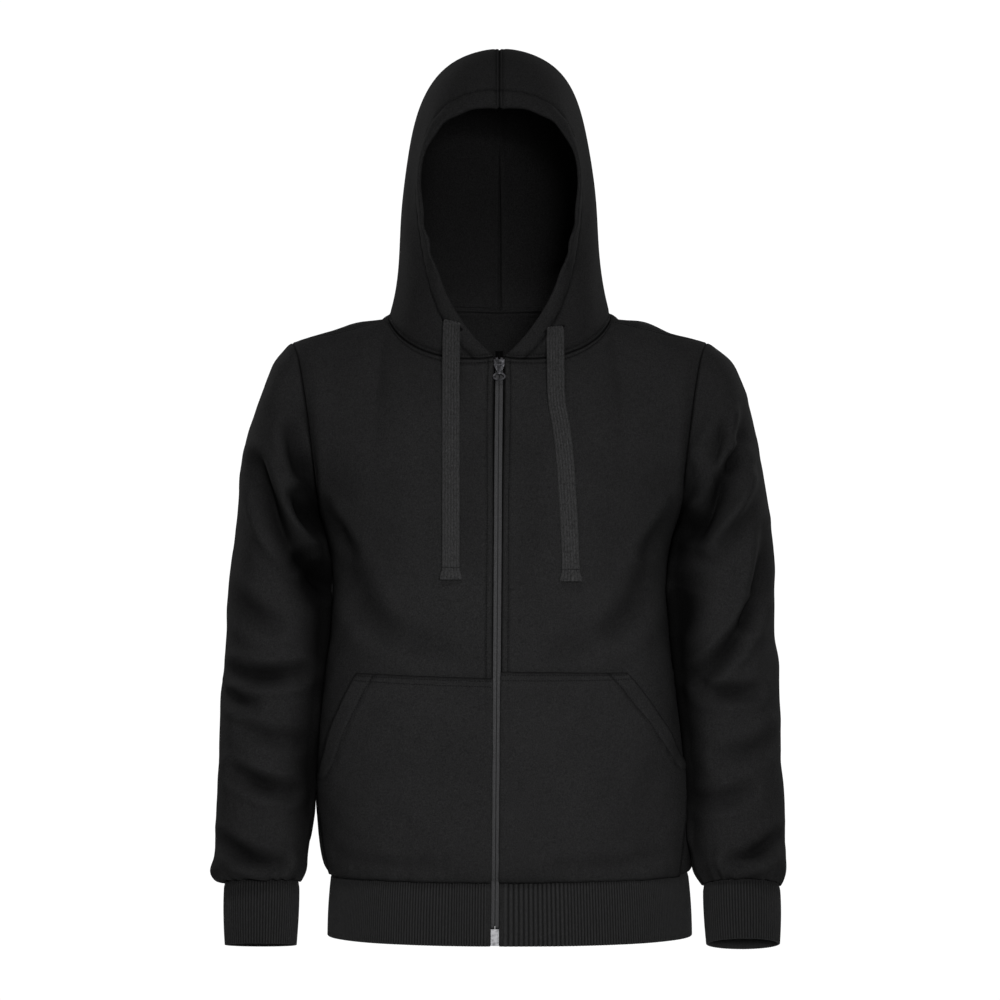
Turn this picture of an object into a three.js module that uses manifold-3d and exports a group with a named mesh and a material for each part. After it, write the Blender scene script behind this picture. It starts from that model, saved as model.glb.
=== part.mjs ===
// Zip up hoodie: thin cloth walls round a hollow, filled out as when worn, with the hood up.
// Millimetres, +Z up. The front faces -Y and the wearer's left is +X.
// The origin lies on the centre plane, level with the base of the neck.
import * as THREE from "three";
import { mergeVertices } from "three/addons/utils/BufferGeometryUtils.js";
import Module from "manifold-3d";

const wasm = await Module();
wasm.setup();

// Cloth sizes
const SEAM_GAP = 0.3;
const CLOTH = 2;
const CASING_RISE = 1.2;
const CASING_CLOTH = 4.4;
const POCKET_CLOTH = 1.8;
const RIB_CLOTH = 1.6;
const RIB_RISE = 0.9;
const RIB_PITCH = 2.8;

// Heights on the body
const ARMPIT_Z = -212;
const HEM_TOP_Z = -598;
const HEM_BOTTOM_Z = -664.5;

// The zip, between the two front edges
const ZIP_HALF_GAP = 5;
const ZIP_DRIFT = -5;
const TAPE_OUTER = 14;
const TAPE_SHOULDER_Z = -49;
const TAPE_NECK_RISE = 9;
const TAPE_NECK_HALF = 4;
const TAPE_CLOTH = 0.8;
const CHAIN_HALF = 2.8;
const CHAIN_DEPTH = 1.7;
const SLIDER_TOP_Z = -49;
const SLIDER_LENGTH = 12;
const SLIDER_HALF = 5.6;
const BOX_TOP_Z = -647;
const BOX_HALF = 4.2;

// How finely each piece is divided
const UPPER_ROWS = 12;
const LOWER_ROWS = 12;
const NECK_STEPS = [0, 0.16, 0.4, 0.7, 1];
const BACK_NECK_STEPS = 5;
const SHOULDER_STEPS = 5;
const HOOD_ROWS = 14;
const PANEL_STEPS = NECK_STEPS.length - 1 + SHOULDER_STEPS;

// Body rings by height: half width, shift to the wearer's left, depth before and behind, and roundness
const BODY_RINGS = [
  { z: -598, wide: 193, shift: 10, front: 103, back: 98, round: 2.3 },
  { z: -590, wide: 198, shift: 9.5, front: 108, back: 102, round: 2.3 },
  { z: -569, wide: 200.5, shift: 7, front: 112, back: 104, round: 2.3 },
  { z: -508, wide: 202, shift: 3, front: 114, back: 104, round: 2.3 },
  { z: -446, wide: 196, shift: 0.5, front: 115, back: 103, round: 2.3 },
  { z: -379, wide: 188.5, shift: 0, front: 115, back: 102, round: 2.3 },
  { z: -345, wide: 183.5, shift: 0, front: 115, back: 102, round: 2.3 },
  { z: -300, wide: 180, shift: 0, front: 114, back: 104, round: 2.3 },
  { z: -274, wide: 181, shift: 0, front: 113, back: 106, round: 2.35 },
  { z: -256, wide: 182.5, shift: 0, front: 113, back: 107, round: 2.35 },
  { z: -241, wide: 185, shift: 0, front: 112, back: 108, round: 2.35 },
  { z: -229, wide: 188, shift: 0, front: 112, back: 108, round: 2.35 },
  { z: -220, wide: 191, shift: 0, front: 112, back: 108, round: 2.35 },
  { z: -212, wide: 194, shift: 0, front: 112, back: 108, round: 2.35 },
];

// Heights of the body rows from the armpit down to the hem seam, as shares of the way
const BODY_ROW_SHARES = [0, 0.03, 0.075, 0.14, 0.23, 0.34, 0.45, 0.56, 0.67, 0.78, 0.88, 0.96, 1];

// Seam curves above the armpit, as cubic curves of four points (x, y, z), on the wearer's left
const FRONT_NECK = [[5, -88, -46], [60, -97, -55], [106, -80, -36], [119, -30, -4]];
const BACK_NECK = [[119, -30, -4], [122, 12, 14], [72, 82, 14], [0, 82, 12]];
const SHOULDER = [[119, -30, -4], [150, -32, -10], [190, -28, -21], [223, -20, -28]];
const ARMHOLE_FRONT = [[194, 0, -212], [193, -90, -192], [211, -72, -30], [223, -20, -28]];
const ARMHOLE_BACK = [[194, 0, -212], [195, 96, -196], [212, 92, -26], [223, -20, -28]];

// Handles of the front columns, from the centre (u 0) to the armhole (u 1).
// rise is where a column leaves the armpit ring, fall is where it comes to the neck or shoulder seam.
const FRONT_COLUMNS = [
  { u: 0, riseX: 0, riseY: -5, riseZ: 60, fallX: 2, fallY: -13, fallZ: -45 },
  { u: 0.22, riseX: 0, riseY: -6, riseZ: 62, fallX: 2, fallY: -14, fallZ: -42 },
  { u: 0.44, riseX: -2, riseY: -12, riseZ: 80, fallX: 8, fallY: -44, fallZ: -20 },
  { u: 0.72, riseX: -1, riseY: -42, riseZ: 72, fallX: -3, fallY: -50, fallZ: -20 },
  { u: 0.89, riseX: 0, riseY: -76, riseZ: 42, fallX: -9, fallY: -54, fallZ: -6 },
  { u: 1, riseX: -1, riseY: -90, riseZ: 20, fallX: -12, fallY: -52, fallZ: -2 },
];

// Handles of the back columns, from the armhole (u 0) to the centre back (u 1)
const BACK_COLUMNS = [
  { u: 0, riseX: 1, riseY: 96, riseZ: 16, fallX: -11, fallY: 112, fallZ: 2 },
  { u: 0.14, riseX: 1, riseY: 74, riseZ: 44, fallX: -8, fallY: 106, fallZ: 20 },
  { u: 0.3, riseX: 0, riseY: 46, riseZ: 80, fallX: 0, fallY: 98, fallZ: 40 },
  { u: 0.5, riseX: 0, riseY: 16, riseZ: 92, fallX: 30, fallY: 66, fallZ: 12 },
  { u: 0.7, riseX: 0, riseY: 6, riseZ: 90, fallX: 26, fallY: 30, fallZ: -16 },
  { u: 1, riseX: 0, riseY: 2, riseZ: 80, fallX: 0, fallY: 20, fallZ: -50 },
];

// Sleeve loops down the arm: outer edge seen from the front and how much each side adds to it, inner edge,
// depth before and behind, and the forward lean of the loop as a share of the cuff's lean
const SLEEVE_LOOPS = [
  { xOut: 244, left: 7, right: 0, zOut: -47, xIn: 193.4, zIn: -215.5, front: -76, back: 82, lean: 0 },
  { xOut: 257, left: 5.5, right: -1, zOut: -72, xIn: 192.2, zIn: -220, front: -81, back: 85, lean: 0 },
  { xOut: 266, left: 5, right: -1, zOut: -103, xIn: 190, zIn: -227, front: -83, back: 84, lean: 0 },
  { xOut: 274, left: 4, right: 0, zOut: -138, xIn: 187.5, zIn: -237, front: -83, back: 81, lean: 0 },
  { xOut: 281, left: 5, right: -0.5, zOut: -178, xIn: 184.5, zIn: -250, front: -82, back: 76, lean: 0 },
  { xOut: 287, left: 5.5, right: -3, zOut: -220, xIn: 180, zIn: -268, front: -80, back: 71, lean: 0 },
  { xOut: 291, left: 5.5, right: -2.5, zOut: -262, xIn: 176, zIn: -290, front: -78, back: 65, lean: 0 },
  { xOut: 293, left: 1.5, right: -1, zOut: -302, xIn: 176.5, zIn: -318, front: -77, back: 59, lean: 0 },
  { xOut: 294, left: 0.5, right: -1, zOut: -340, xIn: 180, zIn: -348, front: -77, back: 54, lean: 0 },
  { xOut: 296, left: 4, right: 0, zOut: -375, xIn: 184.5, zIn: -378, front: -78, back: 49, lean: 0.05 },
  { xOut: 299, left: 1.5, right: 1.5, zOut: -410, xIn: 189, zIn: -408, front: -79, back: 44, lean: 0.1 },
  { xOut: 300, left: 2, right: 0.5, zOut: -443, xIn: 193, zIn: -438, front: -80, back: 39, lean: 0.16 },
  { xOut: 300, left: 2, right: 0.5, zOut: -475, xIn: 196.5, zIn: -468, front: -81, back: 33, lean: 0.24 },
  { xOut: 302, left: 3, right: 0, zOut: -505, xIn: 198, zIn: -498, front: -82, back: 27, lean: 0.34 },
  { xOut: 302, left: 3, right: 1.5, zOut: -532, xIn: 199, zIn: -527, front: -83, back: 21, lean: 0.46 },
  { xOut: 302, left: 3, right: 1.5, zOut: -556, xIn: 201.5, zIn: -552, front: -85, back: 15, lean: 0.6 },
  { xOut: 305, left: 1, right: -1, zOut: -578, xIn: 204.5, zIn: -575, front: -88, back: 11, lean: 0.78 },
  { xOut: 307, left: -1, right: 1.5, zOut: -594, xIn: 206.5, zIn: -592, front: -89, back: 9, lean: 0.92 },
  { xOut: 303, left: 0, right: 0, zOut: -603, xIn: 212, zIn: -602, front: -83, back: 4, lean: 1 },
];
const SLEEVE_ROUND = 2.15;
const REST_GAP = 1.4;

// Cuffs, by side: centre of the seam, half width, half depth, length and forward lean in degrees
const CUFFS = {
  left: { x: 258.5, y: -41, z: -609, halfWide: 40, halfDeep: 30, length: 62, lean: 19 },
  right: { x: 254, y: -41, z: -605, halfWide: 39, halfDeep: 30, length: 66, lean: 11 },
};

// The hood's centre seam over the top, from the rim (s 0) to the crown (s 1)
const HOOD_TOP = [
  { s: 0, y: -98, z: 217 },
  { s: 0.1, y: -79, z: 243 },
  { s: 0.28, y: -38, z: 277 },
  { s: 0.52, y: 12, z: 290.5 },
  { s: 0.76, y: 62, z: 270 },
  { s: 1, y: 98, z: 232 },
];

// Handles of the hood columns, from the rim (s 0) round to the back seam (s 1)
const HOOD_COLUMNS = [
  { s: 0, riseX: 79, riseY: -26, riseZ: 62, fallX: 138, fallY: -18, fallZ: 4 },
  { s: 0.1, riseX: 52, riseY: -22, riseZ: 66, fallX: 136, fallY: -12, fallZ: 8 },
  { s: 0.28, riseX: 10, riseY: -8, riseZ: 74, fallX: 133, fallY: -4, fallZ: 6 },
  { s: 0.45, riseX: -28, riseY: 4, riseZ: 78, fallX: 134, fallY: 0, fallZ: 4 },
  { s: 0.62, riseX: -20, riseY: 22, riseZ: 76, fallX: 125, fallY: 10, fallZ: 2 },
  { s: 0.8, riseX: -4, riseY: 34, riseZ: 66, fallX: 96, fallY: 22, fallZ: -8 },
  { s: 1, riseX: 0, riseY: 32, riseZ: 58, fallX: 0, fallY: 36, fallZ: -52 },
];

// Pocket outline by side, seen from the front: slanted opening, lower side edge and top edge
const POCKETS = {
  left: [[5, -377], [131, -379.5], [134, -384], [200, -487], [197, -532], [190, -597.6], [5, -597.6]],
  right: [
    [5, -384], [85, -378.5], [147, -382], [150, -386],
    [191, -479], [193, -508], [181, -597.6], [5, -597.6],
  ],
};
const POCKET_GAPE = { x: 172, z: -436, reach: 34, lift: 4.5 };

// Folds by sleeve, seen from the front: a line from one end to the other, its reach and its depth
const SLEEVE_FOLDS = {
  right: [
    { x0: 220, z0: -125, x1: 198, z1: -181, reach: 13, deep: 4 },
    { x0: 261, z0: -160, x1: 214, z1: -256, reach: 15, deep: 7 },
    { x0: 214, z0: -195, x1: 194, z1: -227, reach: 12, deep: 6 },
    { x0: 284, z0: -380, x1: 212, z1: -380, reach: 13, deep: 5 },
    { x0: 296, z0: -402, x1: 262, z1: -412, reach: 11, deep: 3 },
    { x0: 279, z0: -486, x1: 222, z1: -505, reach: 13, deep: 4.5 },
    { x0: 294, z0: -560, x1: 232, z1: -582, reach: 12, deep: 4.5 },
  ],
  left: [
    { x0: 240, z0: -119, x1: 223, z1: -148, reach: 12, deep: 4 },
    { x0: 267, z0: -103, x1: 252, z1: -156, reach: 13, deep: 4 },
    { x0: 252, z0: -156, x1: 209, z1: -229, reach: 14, deep: 6.5 },
    { x0: 267, z0: -176, x1: 225, z1: -248, reach: 13, deep: -3.5 },
    { x0: 287, z0: -233, x1: 267, z1: -323, reach: 13, deep: 4 },
    { x0: 270, z0: -316, x1: 212, z1: -384, reach: 13, deep: 5 },
    { x0: 270, z0: -399, x1: 217, z1: -399, reach: 11, deep: 3.5 },
    { x0: 296, z0: -556, x1: 247, z1: -578, reach: 12, deep: 4.5 },
  ],
};

// Folds of the front and back panels, in the same form
const FRONT_FOLDS = [
  { x0: 96, z0: -70, x1: 104, z1: -190, reach: 20, deep: 3 },
  { x0: 176, z0: -236, x1: 128, z1: -330, reach: 20, deep: 4 },
  { x0: 150, z0: -318, x1: 60, z1: -356, reach: 18, deep: 2.5 },
  { x0: 170, z0: -575, x1: 60, z1: -582, reach: 12, deep: 2.5 },
];
const BACK_FOLDS = [
  { x0: 172, z0: -230, x1: 96, z1: -320, reach: 22, deep: 5 },
  { x0: 158, z0: -330, x1: 30, z1: -372, reach: 20, deep: 4 },
  { x0: 140, z0: -90, x1: 150, z1: -190, reach: 22, deep: 4 },
  { x0: 165, z0: -566, x1: 40, z1: -578, reach: 14, deep: 3.5 },
];

// Flat cord: routes of the two free ends (x, y, z), chosen by hand
const CORD_HALF_WIDE = 9.2;
const CORD_HALF_THICK = 1.9;
const CORD_TIP_HALF_WIDE = 11.5;
const CORD_ROUTES = {
  right: [
    [-49.5, -99.9, -8],
    [-49.7, -102.2, -9.8],
    [-50.2, -103, -16],
    [-50.8, -103.6, -45],
    [-51, -105.8, -80],
    [-51, -109.6, -125],
    [-51, -112.8, -160],
    [-51, -113.9, -200],
    [-51, -114.2, -268],
  ],
  left: [
    [57.5, -97.1, -15],
    [58, -99.6, -16.5],
    [58.4, -100.4, -24],
    [58.8, -101.8, -52],
    [59.8, -104, -91],
    [64.5, -106.8, -120],
    [68.6, -110, -155],
    [71.6, -110.8, -202],
    [73.6, -110.4, -240],
    [74.6, -110.8, -270],
  ],
};
const CORD_TIP_LENGTH = 12;

// Colours
const CLOTH_LOOK = { color: 0x111214, roughness: 0.95, metalness: 0 };
const RIB_LOOK = { color: 0x131417, roughness: 0.95, metalness: 0 };
const CORD_LOOK = { color: 0x1a1b1e, roughness: 0.85, metalness: 0 };
const TAPE_LOOK = { color: 0x1c1d20, roughness: 0.8, metalness: 0 };
const METAL_LOOK = { color: 0x8d8f93, roughness: 0.3, metalness: 1 };

const garment = new THREE.Group();

// Small helpers
const vec = (x, y, z) => new THREE.Vector3(x, y, z);
const mix = THREE.MathUtils.lerp;
const clamp01 = (value) => THREE.MathUtils.clamp(value, 0, 1);
const flat = (x, z) => new THREE.Vector2(x, z);
const powerOf = (value, power) => Math.sign(value) * Math.abs(value) ** power;

function cubic(points, t) {
  const weights = [(1 - t) ** 3, 3 * (1 - t) ** 2 * t, 3 * (1 - t) * t ** 2, t ** 3];
  const total = vec(0, 0, 0);
  points.forEach((p, i) => total.addScaledVector(vec(...p), weights[i]));
  return total;
}

// Every named column of a table at one value of its key, smooth through the rows
function readTable(rows, key, value) {
  const sorted = [...rows].sort((a, b) => a[key] - b[key]);
  const last = sorted.length - 1;
  const at = THREE.MathUtils.clamp(value, sorted[0][key], sorted[last][key]);
  let i = 0;
  while (i < last - 1 && at > sorted[i + 1][key]) i += 1;
  const [a, b] = [sorted[i], sorted[i + 1]];
  const before = sorted[Math.max(i - 1, 0)];
  const after = sorted[Math.min(i + 2, last)];
  const step = b[key] - a[key];
  const t = (at - a[key]) / step;
  const result = {};
  for (const name of Object.keys(a)) {
    const slopeA = (b[name] - before[name]) / (b[key] - before[key]);
    const slopeB = (after[name] - a[name]) / (after[key] - a[key]);
    result[name] =
      a[name] * (2 * t ** 3 - 3 * t ** 2 + 1) +
      b[name] * (3 * t ** 2 - 2 * t ** 3) +
      slopeA * step * (t ** 3 - 2 * t ** 2 + t) +
      slopeB * step * (t ** 3 - t ** 2);
  }
  return result;
}

// Depth of the folds at one place, seen from the front
function foldDepth(x, z, folds) {
  let depth = 0;
  for (const fold of folds) {
    const alongX = fold.x1 - fold.x0;
    const alongZ = fold.z1 - fold.z0;
    const share = ((x - fold.x0) * alongX + (z - fold.z0) * alongZ) / (alongX ** 2 + alongZ ** 2);
    const t = clamp01(share);
    const away = Math.hypot(x - fold.x0 - alongX * t, z - fold.z0 - alongZ * t);
    depth += fold.deep * Math.exp(-((away / fold.reach) ** 2));
  }
  return depth;
}

// A panel is a grid of cells, each with a place, an outward direction and a small move at its seams.
// middle(i) is a place inside the garment near row i, and tube says that the columns close on themselves.
function makePanel(rows, columns, place, middle, { group, tube = false, folds = null }) {
  const cells = [];
  for (let i = 0; i <= rows; i += 1) {
    cells.push([]);
    for (let j = 0; j <= columns - (tube ? 1 : 0); j += 1) {
      cells[i].push({ place: place(i, j), out: vec(0, 0, 1), move: vec(0, 0, 0), own: null });
    }
  }
  const panel = { cells, tube, group, middle };
  faceOut(panel);
  if (folds) pressFolds(panel, folds);
  return panel;
}

function faceOut(panel) {
  const { cells, tube, middle } = panel;
  const rows = cells.length - 1;
  const last = cells[0].length - 1;
  let facing = 0;
  for (let i = 0; i <= rows; i += 1) {
    for (let j = 0; j <= last; j += 1) {
      const next = tube ? (j + 1) % (last + 1) : Math.min(j + 1, last);
      const before = tube ? (j + last) % (last + 1) : Math.max(j - 1, 0);
      const down = cells[Math.min(i + 1, rows)][j].place.clone().sub(cells[Math.max(i - 1, 0)][j].place);
      const across = cells[i][next].place.clone().sub(cells[i][before].place);
      cells[i][j].out = down.cross(across).normalize();
      facing += cells[i][j].out.dot(cells[i][j].place.clone().sub(middle(i)));
    }
  }
  cells.flat().forEach((cell) => cell.out.multiplyScalar(Math.sign(facing)));
}

// Folds press a panel in, on the side of the garment that they belong to, but not at its seams
function pressFolds(panel, { front, back }) {
  const { cells, tube } = panel;
  const last = cells[0].length - 1;
  cells.slice(1, -1).forEach((row) => {
    row.forEach((cell, j) => {
      if (!tube && (j === 0 || j === last)) return;
      const { x, z } = cell.place;
      const ahead = clamp01(-cell.out.y * 1.5) * foldDepth(Math.abs(x), z, front);
      const behind = clamp01(cell.out.y * 1.5) * foldDepth(Math.abs(x), z, back);
      cell.place.addScaledVector(cell.out, -ahead - behind);
    });
  });
  faceOut(panel);
}

// Where panels meet, all of them take one shared outward direction
function shareDirections(panels) {
  const meetings = new Map();
  for (const { cells, group } of panels) {
    for (const cell of cells.flat()) {
      const key = cell.place.toArray().map((n) => n.toFixed(2)).join(" ").replaceAll("-0.00", "0.00");
      if (!meetings.has(key)) meetings.set(key, []);
      meetings.get(key).push({ cell, group });
    }
  }
  for (const met of meetings.values()) {
    const groups = {};
    for (const { cell, group } of met) {
      groups[group] = (groups[group] ?? vec(0, 0, 0)).add(cell.out);
    }
    const shared = vec(0, 0, 0);
    Object.values(groups).forEach((sum) => shared.add(sum.normalize()));
    shared.normalize();
    for (const { cell, group } of met) {
      cell.own = groups[group];
      cell.out = shared;
    }
  }
}

function centreOf(panel) {
  const total = vec(0, 0, 0);
  const all = panel.cells.flat();
  all.forEach((cell) => total.add(cell.place));
  return total.divideScalar(all.length);
}

// Opens the gap of a seam: the edges run along the same line, one on each panel
function sew(panelA, edgeA, panelB, edgeB) {
  const apart = centreOf(panelB).sub(centreOf(panelA));
  edgeA.forEach((cell, k) => {
    const along = edgeA[Math.min(k + 1, edgeA.length - 1)].place
      .clone()
      .sub(edgeA[Math.max(k - 1, 0)].place);
    const across = along.cross(cell.out).normalize();
    across.multiplyScalar((Math.sign(across.dot(apart)) * SEAM_GAP) / 2);
    cell.move.sub(across);
    edgeB[k].move.add(across);
  });
}

// A closed wall: outer points on the panel, inner points behind them by the cloth's thickness
function wallGeometry(panel, { cloth = () => CLOTH, rise = () => 0, level = null } = {}) {
  const { cells, tube } = panel;
  const rows = cells.length - 1;
  const wide = cells[0].length;
  const outer = [];
  const inner = [];
  cells.forEach((row, i) => {
    row.forEach((cell, j) => {
      const direction = cell.out.clone();
      if (level && level[i]) direction.addScaledVector(level[i], -direction.dot(level[i])).normalize();
      const slant = cell.own ? Math.max(0.6, cell.out.dot(cell.own)) : 1;
      const base = cell.place.clone().add(cell.move);
      outer.push(base.clone().addScaledVector(direction, rise(i, j)));
      inner.push(base.clone().addScaledVector(direction, -cloth(i, j) / slant));
    });
  });
  const faces = [];
  const quad = (a, b, c, d) => faces.push(a, b, c, a, c, d);
  const at = (i, j) => i * wide + (j % wide);
  const under = outer.length;
  const steps = tube ? wide : wide - 1;
  for (let i = 0; i < rows; i += 1) {
    for (let j = 0; j < steps; j += 1) {
      quad(at(i, j), at(i, j + 1), at(i + 1, j + 1), at(i + 1, j));
      quad(under + at(i, j), under + at(i + 1, j), under + at(i + 1, j + 1), under + at(i, j + 1));
    }
  }
  for (let j = 0; j < steps; j += 1) {
    quad(at(0, j + 1), at(0, j), under + at(0, j), under + at(0, j + 1));
    quad(at(rows, j), at(rows, j + 1), under + at(rows, j + 1), under + at(rows, j));
  }
  if (!tube) {
    for (let i = 0; i < rows; i += 1) {
      quad(at(i, 0), at(i + 1, 0), under + at(i + 1, 0), under + at(i, 0));
      quad(at(i + 1, steps), at(i, steps), under + at(i, steps), under + at(i + 1, steps));
    }
  }
  return solidGeometry([...outer, ...inner], faces);
}

// A geometry of points and faces, turned so that its faces point out
function solidGeometry(points, faces) {
  let volume = 0;
  for (let k = 0; k < faces.length; k += 3) {
    const [a, b, c] = [points[faces[k]], points[faces[k + 1]], points[faces[k + 2]]];
    volume += a.dot(b.clone().cross(c));
  }
  if (volume < 0) faces.reverse();
  const geometry = new THREE.BufferGeometry();
  geometry.setAttribute("position", new THREE.Float32BufferAttribute(points.flatMap((p) => p.toArray()), 3));
  geometry.setIndex(faces);
  return geometry;
}

function addPiece(name, geometry, look, place = vec(0, 0, 0)) {
  geometry.computeVertexNormals();
  const mesh = new THREE.Mesh(geometry, new THREE.MeshStandardMaterial(look));
  mesh.name = name;
  mesh.position.copy(place);
  garment.add(mesh);
  return mesh;
}

// Joining and cutting
function toManifold(geometry) {
  const bare = geometry.clone();
  bare.deleteAttribute("normal");
  bare.deleteAttribute("uv");
  const merged = mergeVertices(bare, 1e-4);
  return new wasm.Manifold(
    new wasm.Mesh({
      numProp: 3,
      vertProperties: new Float32Array(merged.attributes.position.array),
      triVerts: new Uint32Array(merged.index.array),
    }),
  );
}

function fromManifold(solid) {
  const mesh = solid.getMesh();
  const points = new Float32Array(mesh.numVert * 3);
  for (let v = 0; v < mesh.numVert; v += 1) {
    points.set(mesh.vertProperties.subarray(v * mesh.numProp, v * mesh.numProp + 3), v * 3);
  }
  const geometry = new THREE.BufferGeometry();
  geometry.setAttribute("position", new THREE.BufferAttribute(points, 3));
  geometry.setIndex(new THREE.BufferAttribute(mesh.triVerts, 1));
  return geometry;
}

// Body
const zipX = (z) => ZIP_DRIFT * clamp01(z / HEM_BOTTOM_Z);

// A place on the body ring at one height: turn 0 is the centre front, 90 the side and 180 the back
function ringPlace(z, turn, side) {
  const ring = readTable(BODY_RINGS, "z", z);
  const angle = THREE.MathUtils.degToRad(turn);
  const depth = turn > 90 ? ring.back : ring.front;
  const x = side * ring.wide * powerOf(Math.sin(angle), 2 / ring.round) + ring.shift;
  return vec(x, -depth * powerOf(Math.cos(angle), 2 / ring.round), z);
}

// The front starts beside the zip, so its first column is moved there
function frontRingPlace(z, share, side) {
  const place = ringPlace(z, 90 * share, side);
  const pull = clamp01(1 - share * 3);
  const { shift } = readTable(BODY_RINGS, "z", z);
  place.x += (side * ZIP_HALF_GAP - shift) * pull + zipX(z) * (1 - share);
  return place;
}

function columnPlace(start, end, handles, side, t) {
  const rise = vec(side * handles.riseX, handles.riseY, handles.riseZ).add(start);
  const fall = vec(side * handles.fallX, handles.fallY, handles.fallZ).add(end);
  return cubic([start.toArray(), rise.toArray(), fall.toArray(), end.toArray()], t);
}

const sided = (place, side) => vec(side * place.x, place.y, place.z);

// The top edge of the front: neckline, then shoulder seam
function frontTop(j, side) {
  const neckSteps = NECK_STEPS.length - 1;
  if (j <= neckSteps) {
    const place = sided(cubic(FRONT_NECK, NECK_STEPS[j]), side);
    place.x += zipX(place.z) * (1 - NECK_STEPS[j]);
    return place;
  }
  return sided(cubic(SHOULDER, (j - neckSteps) / SHOULDER_STEPS), side);
}

// The top edge of the back, on one side: shoulder seam from the tip, then the neckline to the centre
function backTop(j, side) {
  if (j <= SHOULDER_STEPS) return sided(cubic(SHOULDER, 1 - j / SHOULDER_STEPS), side);
  return sided(cubic(BACK_NECK, (j - SHOULDER_STEPS) / BACK_NECK_STEPS), side);
}

function rowHeight(i) {
  return mix(ARMPIT_Z, HEM_TOP_Z, BODY_ROW_SHARES[i - UPPER_ROWS]);
}

const BODY_ROWS = UPPER_ROWS + LOWER_ROWS;
const bodyMiddle = () => vec(0, 0, -300);

function makeFront(side) {
  const place = (i, j) => {
    const share = j / PANEL_STEPS;
    if (i >= UPPER_ROWS) return frontRingPlace(rowHeight(i), share, side);
    const t = 1 - i / UPPER_ROWS;
    if (j === PANEL_STEPS) return sided(cubic(ARMHOLE_FRONT, t), side);
    const handles = readTable(FRONT_COLUMNS, "u", share);
    return columnPlace(frontRingPlace(ARMPIT_Z, share, side), frontTop(j, side), handles, side, t);
  };
  const folds = { front: FRONT_FOLDS, back: [] };
  return makePanel(BODY_ROWS, PANEL_STEPS, place, bodyMiddle, { group: "body", folds });
}

// The back runs from the right side, over the centre, to the left side
const BACK_HALF = SHOULDER_STEPS + BACK_NECK_STEPS;

function makeBack() {
  const place = (i, j) => {
    const side = j < BACK_HALF ? -1 : 1;
    const k = j < BACK_HALF ? j : 2 * BACK_HALF - j;
    const share = k / BACK_HALF;
    if (i >= UPPER_ROWS) return ringPlace(rowHeight(i), 90 + 90 * share, side);
    const t = 1 - i / UPPER_ROWS;
    if (k === 0) return sided(cubic(ARMHOLE_BACK, t), side);
    const handles = readTable(BACK_COLUMNS, "u", share);
    return columnPlace(ringPlace(ARMPIT_Z, 90 + 90 * share, side), backTop(k, side), handles, side, t);
  };
  const folds = { front: [], back: BACK_FOLDS };
  return makePanel(BODY_ROWS, 2 * BACK_HALF, place, bodyMiddle, { group: "body", folds });
}

// Sleeves
const SLEEVE_COLUMNS = 2 * UPPER_ROWS;

// Column 0 is the shoulder tip, and the columns go down the front to the armpit and up the back
function armholePlace(j, side) {
  if (j <= UPPER_ROWS) return sided(cubic(ARMHOLE_FRONT, 1 - j / UPPER_ROWS), side);
  return sided(cubic(ARMHOLE_BACK, (j - UPPER_ROWS) / UPPER_ROWS), side);
}

function cuffLoop(cuff) {
  return {
    xOut: cuff.x + cuff.halfWide,
    zOut: cuff.z,
    xIn: cuff.x - cuff.halfWide,
    zIn: cuff.z,
    front: cuff.y - cuff.halfDeep,
    back: cuff.y + cuff.halfDeep,
    lean: 1,
  };
}

// The sleeve rests on the side of the body, so no point of it goes further in than that
function besideBody(place, side) {
  const ring = readTable(BODY_RINGS, "z", place.z);
  const depth = place.y < 0 ? ring.front : ring.back;
  const away = clamp01(Math.abs(place.y) / depth);
  const wall = ring.wide * (1 - away ** ring.round) ** (1 / ring.round) + side * ring.shift + REST_GAP;
  place.x = side * Math.max(side * place.x, wall);
  return place;
}

function loopPlace(loop, turn, lean, side) {
  const angle = THREE.MathUtils.degToRad(turn);
  const outward = powerOf(Math.cos(angle), 2 / SLEEVE_ROUND);
  const forward = powerOf(Math.sin(angle), 2 / SLEEVE_ROUND) * (loop.back - loop.front) * 0.5;
  const tilt = THREE.MathUtils.degToRad(lean * loop.lean);
  return vec(
    side * ((loop.xOut + loop.xIn) / 2 + (outward * (loop.xOut - loop.xIn)) / 2),
    (loop.front + loop.back) / 2 - forward * Math.cos(tilt),
    (loop.zOut + loop.zIn) / 2 + (outward * (loop.zOut - loop.zIn)) / 2 + forward * Math.sin(tilt),
  );
}

function makeSleeve(name, side) {
  const cuff = CUFFS[name];
  const seen = SLEEVE_LOOPS.map((loop) => ({ ...loop, xOut: loop.xOut + loop[name] }));
  const loops = [...seen, cuffLoop(cuff)];
  const place = (i, j) => {
    if (i === 0) return armholePlace(j, side);
    return besideBody(loopPlace(loops[i - 1], (360 * j) / SLEEVE_COLUMNS, cuff.lean, side), side);
  };
  const middle = (i) => {
    const loop = loops[Math.max(i - 1, 0)];
    return vec((side * (loop.xOut + loop.xIn)) / 2, (loop.front + loop.back) / 2, (loop.zOut + loop.zIn) / 2);
  };
  const other = name === "left" ? "right" : "left";
  const folds = { front: SLEEVE_FOLDS[name], back: SLEEVE_FOLDS[other] };
  return makePanel(loops.length, SLEEVE_COLUMNS, place, middle, { group: name, tube: true, folds });
}

// Hood
const NECK_COUNT = NECK_STEPS.length - 1 + BACK_NECK_STEPS;

function neckPlace(j, side) {
  const frontSteps = NECK_STEPS.length - 1;
  if (j <= frontSteps) return frontTop(j, side);
  return sided(cubic(BACK_NECK, (j - frontSteps) / BACK_NECK_STEPS), side);
}

const HOOD_SHARES = [0, 0.1, 0.22, 0.34, 0.46, 0.57, 0.68, 0.79, 0.9, 1];

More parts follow.
